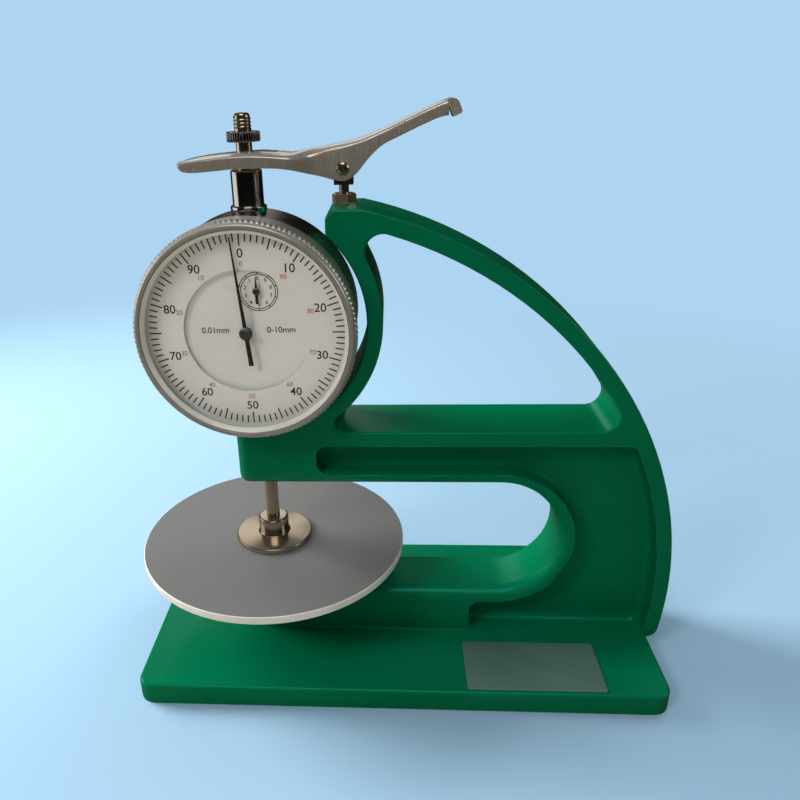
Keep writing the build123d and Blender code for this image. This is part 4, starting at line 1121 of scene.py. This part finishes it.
@dataclass
class LiftLever:
    """The pressed channel that lifts the spindle: a fork at one end, a finger grip at the other."""

    pivot_x: float = 24.6
    pivot_z: float = 143.0
    sheet: float = 0.9
    cut_round: float = 0.2
    slot_half: float = 3.1
    slot_round_x: float = 6.4
    fork_end: float = -16.0
    channel_end: float = 50.2
    arc_steps: int = 5
    crown_steps: int = 4
    grip_middle: Point2 = (50.05, 157.95)
    grip_slope: float = 22.0
    grip_half_width: float = 3.2
    grip_length: float = 2.05
    grip_depth: float = 4.1
    grip_tuck: float = 0.4
    grip_wall: float = 0.75
    grip_hollow: float = 2.0
    nut_half_flats: float = 2.75
    nut_span: Point2 = (134.2, 136.8)
    nut_bore: float = 1.53
    nut_turn: float = 0.35
    nut_face: float = 0.96
    nut_chamfer: float = 0.58
    top_line: tuple[Point2, ...] = (
        (-16.0, 145.6), (-13.8, 146.1), (-9.8, 146.8), (-4.35, 147.3), (1.5, 147.6), (4.9, 147.75),
        (7.1, 147.55), (11.55, 146.95), (13.8, 147.2), (16.7, 147.7), (20.9, 148.3), (25.0, 149.0),
        (27.8, 149.6), (30.6, 150.45), (33.3, 151.45), (36.0, 152.45), (38.7, 153.65), (41.4, 154.75),
        (44.0, 155.85), (46.7, 156.9), (49.3, 157.85), (50.7, 158.2),
    )
    under_line: tuple[Point2, ...] = (
        (-16.0, 144.6), (-15.6, 143.95), (-15.0, 143.45), (-13.9, 143.15), (-12.0, 143.05), (-8.8, 143.2),
        (-5.4, 143.45), (-2.0, 143.7), (1.2, 143.77), (4.5, 143.74), (7.75, 143.64), (9.85, 143.46),
        (13.0, 142.9), (16.5, 141.9), (19.5, 141.2), (22.3, 140.4), (24.6, 140.1), (26.0, 140.4),
        (27.3, 141.2), (28.7, 142.5), (30.0, 144.1), (31.7, 145.9), (33.3, 147.35), (35.2, 148.6),
        (37.4, 149.55), (40.0, 150.7), (42.7, 151.9), (45.3, 152.95), (47.9, 153.95), (50.7, 154.5),
    )
    plan_line: tuple[Point2, ...] = (
        (-16.0, 5.75), (-15.0, 6.15), (-13.0, 6.3), (8.0, 6.3), (11.5, 6.2), (14.0, 5.3), (16.5, 4.05),
        (18.5, 3.7), (30.0, 3.7), (33.5, 3.45), (37.0, 3.2), (50.7, 3.2),
    )
    crown_line: tuple[Point2, ...] = (
        (-16.0, 0.35), (-9.8, 0.8), (-4.0, 0.8), (1.5, 0.9), (5.0, 1.2), (8.0, 1.05), (11.5, 0.6),
        (14.0, 0.8), (17.0, 1.0), (21.0, 0.45), (25.0, 0.5), (30.0, 0.5), (40.0, 0.35), (50.7, 0.3),
    )
    edge_line: tuple[Point2, ...] = (
        (-16.0, 0.6), (8.0, 0.7), (12.0, 1.4), (16.0, 2.0), (19.0, 1.6), (24.0, 1.3), (30.0, 1.1),
        (50.7, 1.0),
    )

    def along(self, line: Sequence[Point2], x: float) -> float:
        """Read a smooth line through points at a given X.

        Args:
            line: points in order of X.
            x: where to read it.

        Returns:
            The line's value there.
        """
        last = len(line) - 2
        index = max(0, min(last, sum(1 for point in line if point[0] <= x) - 1))
        before, here, there, after = (line[max(0, min(last + 1, index + step))] for step in (-1, 0, 1, 2))
        span = there[0] - here[0]
        share = (x - here[0]) / span
        slope_here = (there[1] - before[1]) / (there[0] - before[0]) * span
        slope_there = (after[1] - here[1]) / (after[0] - here[0]) * span
        square, cube = share ** 2, share ** 3
        return ((2 * cube - 3 * square + 1) * here[1] + (cube - 2 * square + share) * slope_here
                + (3 * square - 2 * cube) * there[1] + (cube - square) * slope_there)

    def places(self) -> list[float]:
        """Lay out the X of the cross-sections from the fork's tips to the channel's open end.

        Returns:
            The places in order.
        """
        places = [self.fork_end, -15.8, -15.5, -15.0, self.channel_end]
        places += [-14.4 + 0.8 * index for index in range(26)] + [10.2 + 0.9 * index for index in range(44)]
        places += [self.slot_round_x + self.slot_half * math.sin(math.radians(angle))
                   for angle in range(10, 91, 10)]
        return sorted({round(x, 4) for x in places if round(x, 4) <= self.channel_end})

    def section(self, x: float, side: float) -> list[Vector]:
        """Give one half of a cross-section, from the wall's foot over the crown to the middle or the slot.

        Args:
            x: its place.
            side: -1 for the reader's side, 1 for the far side.

        Returns:
            Its points.
        """
        top, half_width, radius = (self.along(line, x) for line in (
            self.top_line, self.plan_line, self.edge_line))
        wall = top - self.along(self.under_line, x)
        crown = min(self.along(self.crown_line, x), wall * 0.6)
        gap = math.sqrt(max(0.0, self.slot_half ** 2 - max(0.0, x - self.slot_round_x) ** 2))
        shoulder_at = half_width - radius
        for _ in range(6):
            lean = math.atan2(2 * crown, shoulder_at)
            shoulder_at = half_width - radius * (1 - math.sin(lean))
        middle_down = crown + radius * math.cos(lean)
        foot = max(wall, middle_down + 0.05)
        flat: list[Point2] = [(half_width, foot), (half_width, (foot + middle_down) / 2)]
        for step in range(self.arc_steps + 1):
            turn = lean + (math.pi / 2 - lean) * (1 - step / self.arc_steps)
            flat.append((half_width - radius * (1 - math.sin(turn)), middle_down - radius * math.cos(turn)))
        inner = flat[-1][0]
        for step in range(1, self.crown_steps + 1):
            width = inner + (gap - inner) * step / self.crown_steps
            flat.append((width, crown * (width / inner) ** 2))
        return [Vector((x, side * width, top - depth)) for width, depth in flat]

    def half(self, side: float) -> BMesh:
        """Draw one half of the channel as a sheet, section by section.

        Args:
            side: -1 for the reader's side, 1 for the far side.

        Returns:
            The half's bmesh.
        """
        mesh = bmesh.new()
        places = self.places()
        chain(mesh, self.section(places[0], side))
        verts, edges = list(mesh.verts), list(mesh.edges)
        for x in places[1:]:
            made = bmesh.ops.extrude_edge_only(mesh, edges=edges)["geom"]
            fresh = {item for item in made if isinstance(item, BMVert)}
            edges = [item for item in made if isinstance(item, BMEdge) and fresh.issuperset(item.verts)]
            verts = [next(edge.other_vert(vert) for edge in vert.link_edges
                          if edge.other_vert(vert) in fresh) for vert in verts]
            for vert, point in zip(verts, self.section(x, side)):
                vert.co = point
        return mesh

    def channel(self) -> BMesh:
        """Join both halves, give the sheet its thickness and round its cut edges.

        Returns:
            The channel's bmesh, in millimetres.
        """
        mesh = join([self.half(-1.0), self.half(1.0)])
        bmesh.ops.remove_doubles(mesh, verts=mesh.verts, dist=0.02)
        bmesh.ops.recalc_face_normals(mesh, faces=mesh.faces)
        piece = to_object("lever_blank", mesh)
        wall = piece.modifiers.new("sheet", "SOLIDIFY")
        wall.thickness = self.sheet
        wall.offset = -1.0
        wall.use_even_offset = True
        edge = piece.modifiers.new("deburr", "BEVEL")
        edge.width = self.cut_round
        edge.segments = 2
        edge.limit_method = "ANGLE"
        edge.angle_limit = math.radians(50)
        return applied(piece)

    def grip_end(self) -> BMesh:
        """Make the turned-down end of the grip, with a round nose and a hollow underside.

        Returns:
            The end's bmesh, in millimetres.
        """
        length, depth, half = self.grip_length, self.grip_depth, self.grip_half_width
        mesh = bmesh.new()
        verts = [mesh.verts.new((u, -half, -v)) for u, v in (
            (-self.grip_tuck, 0.0), (length, 0.0), (length, depth), (-self.grip_tuck, depth))]
        mesh.faces.new(verts)
        for vert, rounding in ((verts[1], 1.9), (verts[2], 0.6)):
            soften(mesh, [vert], rounding, 8, "VERTICES")
        made = bmesh.ops.extrude_face_region(mesh, geom=list(mesh.faces))["geom"]
        moved = [item for item in made if isinstance(item, BMVert)]
        bmesh.ops.translate(mesh, verts=moved, vec=(0, 2 * half, 0))
        bmesh.ops.recalc_face_normals(mesh, faces=mesh.faces)
        under = [face for face in mesh.faces if face.normal.z < -0.9]
        bmesh.ops.inset_region(mesh, faces=under, thickness=self.grip_wall, use_even_offset=True)
        bmesh.ops.translate(mesh, verts=list({vert for face in under for vert in face.verts}),
                            vec=(0, 0, self.grip_hollow))
        rim = [edge for edge in mesh.edges if len(edge.link_faces) == 2
               and edge.calc_face_angle(0.0) > math.radians(60)
               and all(abs(abs(vert.co.y) - half) < 1e-4 for vert in edge.verts)
               and any(vert.co.x > 0.0 for vert in edge.verts)]
        soften(mesh, rim, 0.6, 4)
        put(mesh, mesh.verts, -math.radians(self.grip_slope), "Y",
            (self.grip_middle[0], 0.0, self.grip_middle[1]))
        return mesh

    def pin(self) -> None:
        """Turn the riveted pin with its domed heads."""
        head = ((0.0, -4.45, 0.0), (0.75, -4.4, 0.0), (1.35, -4.15, 0.3), (1.7, -3.72, 0.1), (1.2, -3.7, 0.0))
        other = tuple((radius, -height, rounding) for radius, height, rounding in reversed(head))
        TurnedPiece("riveted_pin", ("lever_pivot_pin",), "lever", "nickel_steel", NICKEL_STEEL,
                    head + other, Axis.FACING, self.pivot_x, self.pivot_z, 48).build()

    def locknut(self) -> None:
        """Make the hexagon locknut with its corners chamfered at both ends."""
        (bottom, top), face = self.nut_span, self.nut_half_flats * self.nut_face
        mesh = bmesh.new()
        bmesh.ops.create_circle(mesh, segments=6, radius=self.nut_half_flats / math.cos(math.pi / 6))
        put(mesh, mesh.verts, self.nut_turn, "Z", (0, 0, 0))
        bmesh.ops.subdivide_edges(mesh, edges=mesh.edges, cuts=7)
        lower = list(mesh.edges)
        made = bmesh.ops.extrude_edge_only(mesh, edges=lower)["geom"]
        raised = [item for item in made if isinstance(item, BMVert)]
        bmesh.ops.translate(mesh, verts=raised, vec=(0, 0, top - bottom))
        upper = [edge for edge in mesh.edges if all(vert in raised for vert in edge.verts)]
        for ring, height, way in ((lower, 0.0, 1.0), (upper, top - bottom, -1.0)):
            for vert in {vert for edge in ring for vert in edge.verts}:
                vert.co.z = height + way * max(0.0, vert.co.xy.length - face) * self.nut_chamfer
            for radius in (face, self.nut_bore):
                turn = Matrix.Translation((0, 0, height)) @ Matrix.Rotation(self.nut_turn, 4, "Z")
                circle = bmesh.ops.create_circle(mesh, segments=48, radius=radius, matrix=turn)["verts"]
                inner = list({edge for vert in circle for edge in vert.link_edges})
                bmesh.ops.bridge_loops(mesh, edges=ring + inner)
                ring = inner
        bmesh.ops.bridge_loops(mesh, edges=[edge for edge in mesh.edges if edge.is_boundary])
        bmesh.ops.translate(mesh, verts=mesh.verts, vec=(self.pivot_x, 0.0, bottom))
        settle("chamfered_locknut", mesh, STUD_STEEL, "frame", ("stud_locknut",), 25.0)

    def build(self) -> None:
        """Build the lever with its turned-down end, its pin and the locknut."""
        settle("pressed_lever", self.channel(), LEVER_NICKEL, "lever", ("lift_lever",), 50.0)
        settle("grip_end", self.grip_end(), LEVER_NICKEL, "lever", (), 40.0)
        self.pin()
        self.locknut()


@dataclass(frozen=True)
class Lamp:
    """One soft lamp, or a card that only the gloss sees, with its place and size in metres."""

    name: str
    place: Corner
    width: float
    height: float
    watts: float
    colour: Colour = (1.0, 1.0, 1.0)
    is_card: bool = False

    def build(self, target: Vector) -> None:
        """Hang the lamp.

        Args:
            target: the point it looks at, in metres.
        """
        data = bpy.data.lights.new(self.name, "AREA")
        data.shape = "RECTANGLE"
        data.size = self.width
        data.size_y = self.height
        data.energy = self.watts
        data.color = self.colour
        hung = bpy.data.objects.new(self.name, data)
        hung.location = self.place
        hung.rotation_euler = (target - hung.location).to_track_quat("-Z", "Y").to_euler()
        hung.visible_diffuse = not self.is_card
        hung.visible_glossy = self.is_card
        hung.visible_camera = False
        bpy.context.scene.collection.objects.link(hung)


@dataclass
class Studio:
    """Floor, lights and camera."""

    floor_radius: float = 1300.0
    sweep_radius: float = 600.0
    wall_height: float = 1900.0
    focal_pixels: float = 725.548
    centre_x: float = 342.356
    centre_y: float = 418.554
    picture: float = 800.0
    sensor: float = 36.0
    yaw: float = 0.073
    pitch: float = 0.427
    roll: float = -0.032
    eye: Corner = (36.243, -190.398, 160.904)
    floor_colour: Colour = (0.28, 0.44, 0.585)
    glow_colour: Colour = (0.42, 0.66, 0.88)
    bench_colour: Colour = (0.66, 0.62, 0.54)
    mirror_colour: Colour = (0.03, 0.028, 0.025)
    room_colour: Colour = (0.012, 0.011, 0.010)
    wall_glow: float = 1.0
    sky_colour: Colour = (0.95, 0.97, 1.0)
    sky: float = 0.92
    gloss_sky: float = 0.06
    lamp_target: Corner = (0.04, 0.0, 0.07)
    lamps: tuple[Lamp, ...] = (
        Lamp("window_lamp", (-0.65, 0.25, 0.40), 0.4, 0.4, 12.5, (1.0, 0.99, 0.96)),
        Lamp("key_lamp", (-0.45, -0.50, 0.60), 0.18, 0.18, 2.2, (1.0, 0.98, 0.94)),
        Lamp("front_lamp", (-0.10, -0.80, 0.50), 0.5, 0.5, 1.0, (1.0, 0.98, 0.95)),
        Lamp("back_lamp", (0.45, 0.45, 0.75), 0.5, 0.5, 2.4, (1.0, 0.99, 0.97)),
        Lamp("back_card", (-0.22, 0.98, 0.65), 0.45, 0.4, 0.6, is_card=True),
        Lamp("left_card", (-0.9, 0.03, 0.25), 0.75, 0.5, 1.5, is_card=True),
        Lamp("over_card", (0.0, -0.45, 1.0), 0.6, 0.4, 2.4, is_card=True),
        Lamp("right_card", (0.8, -0.1, 0.4), 0.4, 0.4, 1.0, is_card=True),
    )

    def floor(self) -> None:
        """Make the pale floor, which sweeps up all round into a wall."""
        outer = self.floor_radius + self.sweep_radius
        mesh = bmesh.new()
        line = chain(mesh, ((0.0, 0.0, 0.0), (outer, 0.0, 0.0), (outer, 0.0, self.wall_height)))
        bmesh.ops.spin(mesh, geom=line, cent=(0, 0, 0), axis=(0, 0, 1), angle=FULL_TURN, steps=96,
                       use_merge=True)
        bmesh.ops.remove_doubles(mesh, verts=mesh.verts, dist=0.01)
        soften(mesh, [edge for edge in mesh.edges if all(
            abs(vert.co.z) < 1 and vert.co.xy.length > outer - 1 for vert in edge.verts)],
            self.sweep_radius, 16)
        bmesh.ops.recalc_face_normals(mesh, faces=mesh.faces)
        bmesh.ops.reverse_faces(mesh, faces=mesh.faces)
        bmesh.ops.scale(mesh, vec=(MM, MM, MM), verts=mesh.verts)
        floor = to_object("studio_floor", mesh)
        floor.data.polygons.foreach_set("use_smooth", [True] * len(floor.data.polygons))
        floor.data.materials.append(self.floor_material())

    def floor_material(self) -> bpy.types.Material:
        """Make the floor pale and even to the camera, and a cream bench in a dim room to the metals.

        Returns:
            The floor's material.
        """
        material = bpy.data.materials.new("pale_floor")
        material.use_nodes = True
        tree = material.node_tree
        place = add(tree, "TexCoord").outputs["Object"]
        length = add(tree, "VectorMath", place, operation="LENGTH").outputs["Value"]
        by_wall, by_room = (
            add(tree, "MapRange", length, *span, interpolation_type="SMOOTHSTEP").outputs[0]
            for span in ((0.16, 0.5), (0.35, 0.9)))
        floor, bench, mirror, room = (
            add(tree, "BsdfDiffuse", (*colour, 1.0)).outputs[0]
            for colour in (self.floor_colour, self.bench_colour, self.mirror_colour, self.room_colour))
        glow = add(tree, "Emission", (*self.glow_colour, 1.0), self.wall_glow).outputs[0]
        path = add(tree, "LightPath").outputs
        seen = add(tree, "MixShader", by_wall, floor, glow).outputs[0]
        bench = add(tree, "MixShader", path["Is Glossy Ray"], bench, mirror).outputs[0]
        unseen = add(tree, "MixShader", by_room, bench, room).outputs[0]
        whole = add(tree, "MixShader", path["Is Camera Ray"], unseen, seen)
        tree.links.new(whole.outputs[0], tree.nodes["Material Output"].inputs["Surface"])
        tree.nodes.remove(tree.nodes["Principled BSDF"])
        return material

    def lights(self) -> None:
        """Hang the lamps and the cards that the metals mirror, and set the room's light."""
        for lamp in self.lamps:
            lamp.build(Vector(self.lamp_target))
        world = bpy.data.worlds.new("studio_room")
        world.use_nodes = True
        tree = world.node_tree
        glossy = add(tree, "LightPath").outputs["Is Glossy Ray"]
        dim = maths(tree, "MULTIPLY", glossy, self.gloss_sky - self.sky)
        set_inputs(tree, tree.nodes["Background"], Color=(*self.sky_colour, 1.0),
                   Strength=maths(tree, "ADD", dim, self.sky))
        bpy.context.scene.world = world

    def camera(self) -> None:
        """Set the camera where the photograph was taken from."""
        data = bpy.data.cameras.new("gauge_camera")
        data.sensor_width = self.sensor
        data.lens = self.focal_pixels / self.picture * self.sensor
        data.shift_x = (self.picture / 2 - self.centre_x) / self.picture
        data.shift_y = (self.centre_y - self.picture / 2) / self.picture
        data.clip_start = 0.01
        forward = Vector((-math.sin(self.yaw) * math.cos(self.pitch),
                          math.cos(self.yaw) * math.cos(self.pitch), -math.sin(self.pitch)))
        right = Vector((math.cos(self.yaw), math.sin(self.yaw), 0.0))
        up = right.cross(forward)
        across = math.cos(self.roll) * right + math.sin(self.roll) * up
        above = -math.sin(self.roll) * right + math.cos(self.roll) * up
        turn = Matrix((across, above, -forward)).transposed()
        camera = bpy.data.objects.new("gauge_camera", data)
        camera.matrix_world = Matrix.Translation(Vector(self.eye) * MM) @ turn.to_4x4()
        bpy.context.scene.collection.objects.link(camera)
        bpy.context.scene.camera = camera

    def build(self) -> None:
        """Build the studio."""
        self.floor()
        self.lights()
        self.camera()
        bpy.context.scene.view_settings.view_transform = "Standard"


def dress_nodes() -> None:
    """Give every CAD node the finish of its slot, as a procedural material."""
    slots = {part["node"]: part["material_slot"] for part in frame["record"]["subparts"]}
    for name, node in frame["nodes"].items():
        finish = SLOT_FINISHES[slots[name]]
        node.data.materials.clear()
        node.data.materials.append(finish.build())
        log.info("%s: %s", name, finish.name)


def main() -> None:
    """Build the gauge and its studio in order."""
    logging.basicConfig(level=logging.INFO, format="%(name)s: %(message)s")
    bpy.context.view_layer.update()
    dress_nodes()
    for part in (Studio(), CastFrame(), MeasuringTable(), SpindleGroup(), IndicatorBody(), DialPrint(),
                 LiftLever()):
        part.build()
        log.info("%s is built", type(part).__name__)


if __name__ == "__main__":
    main()
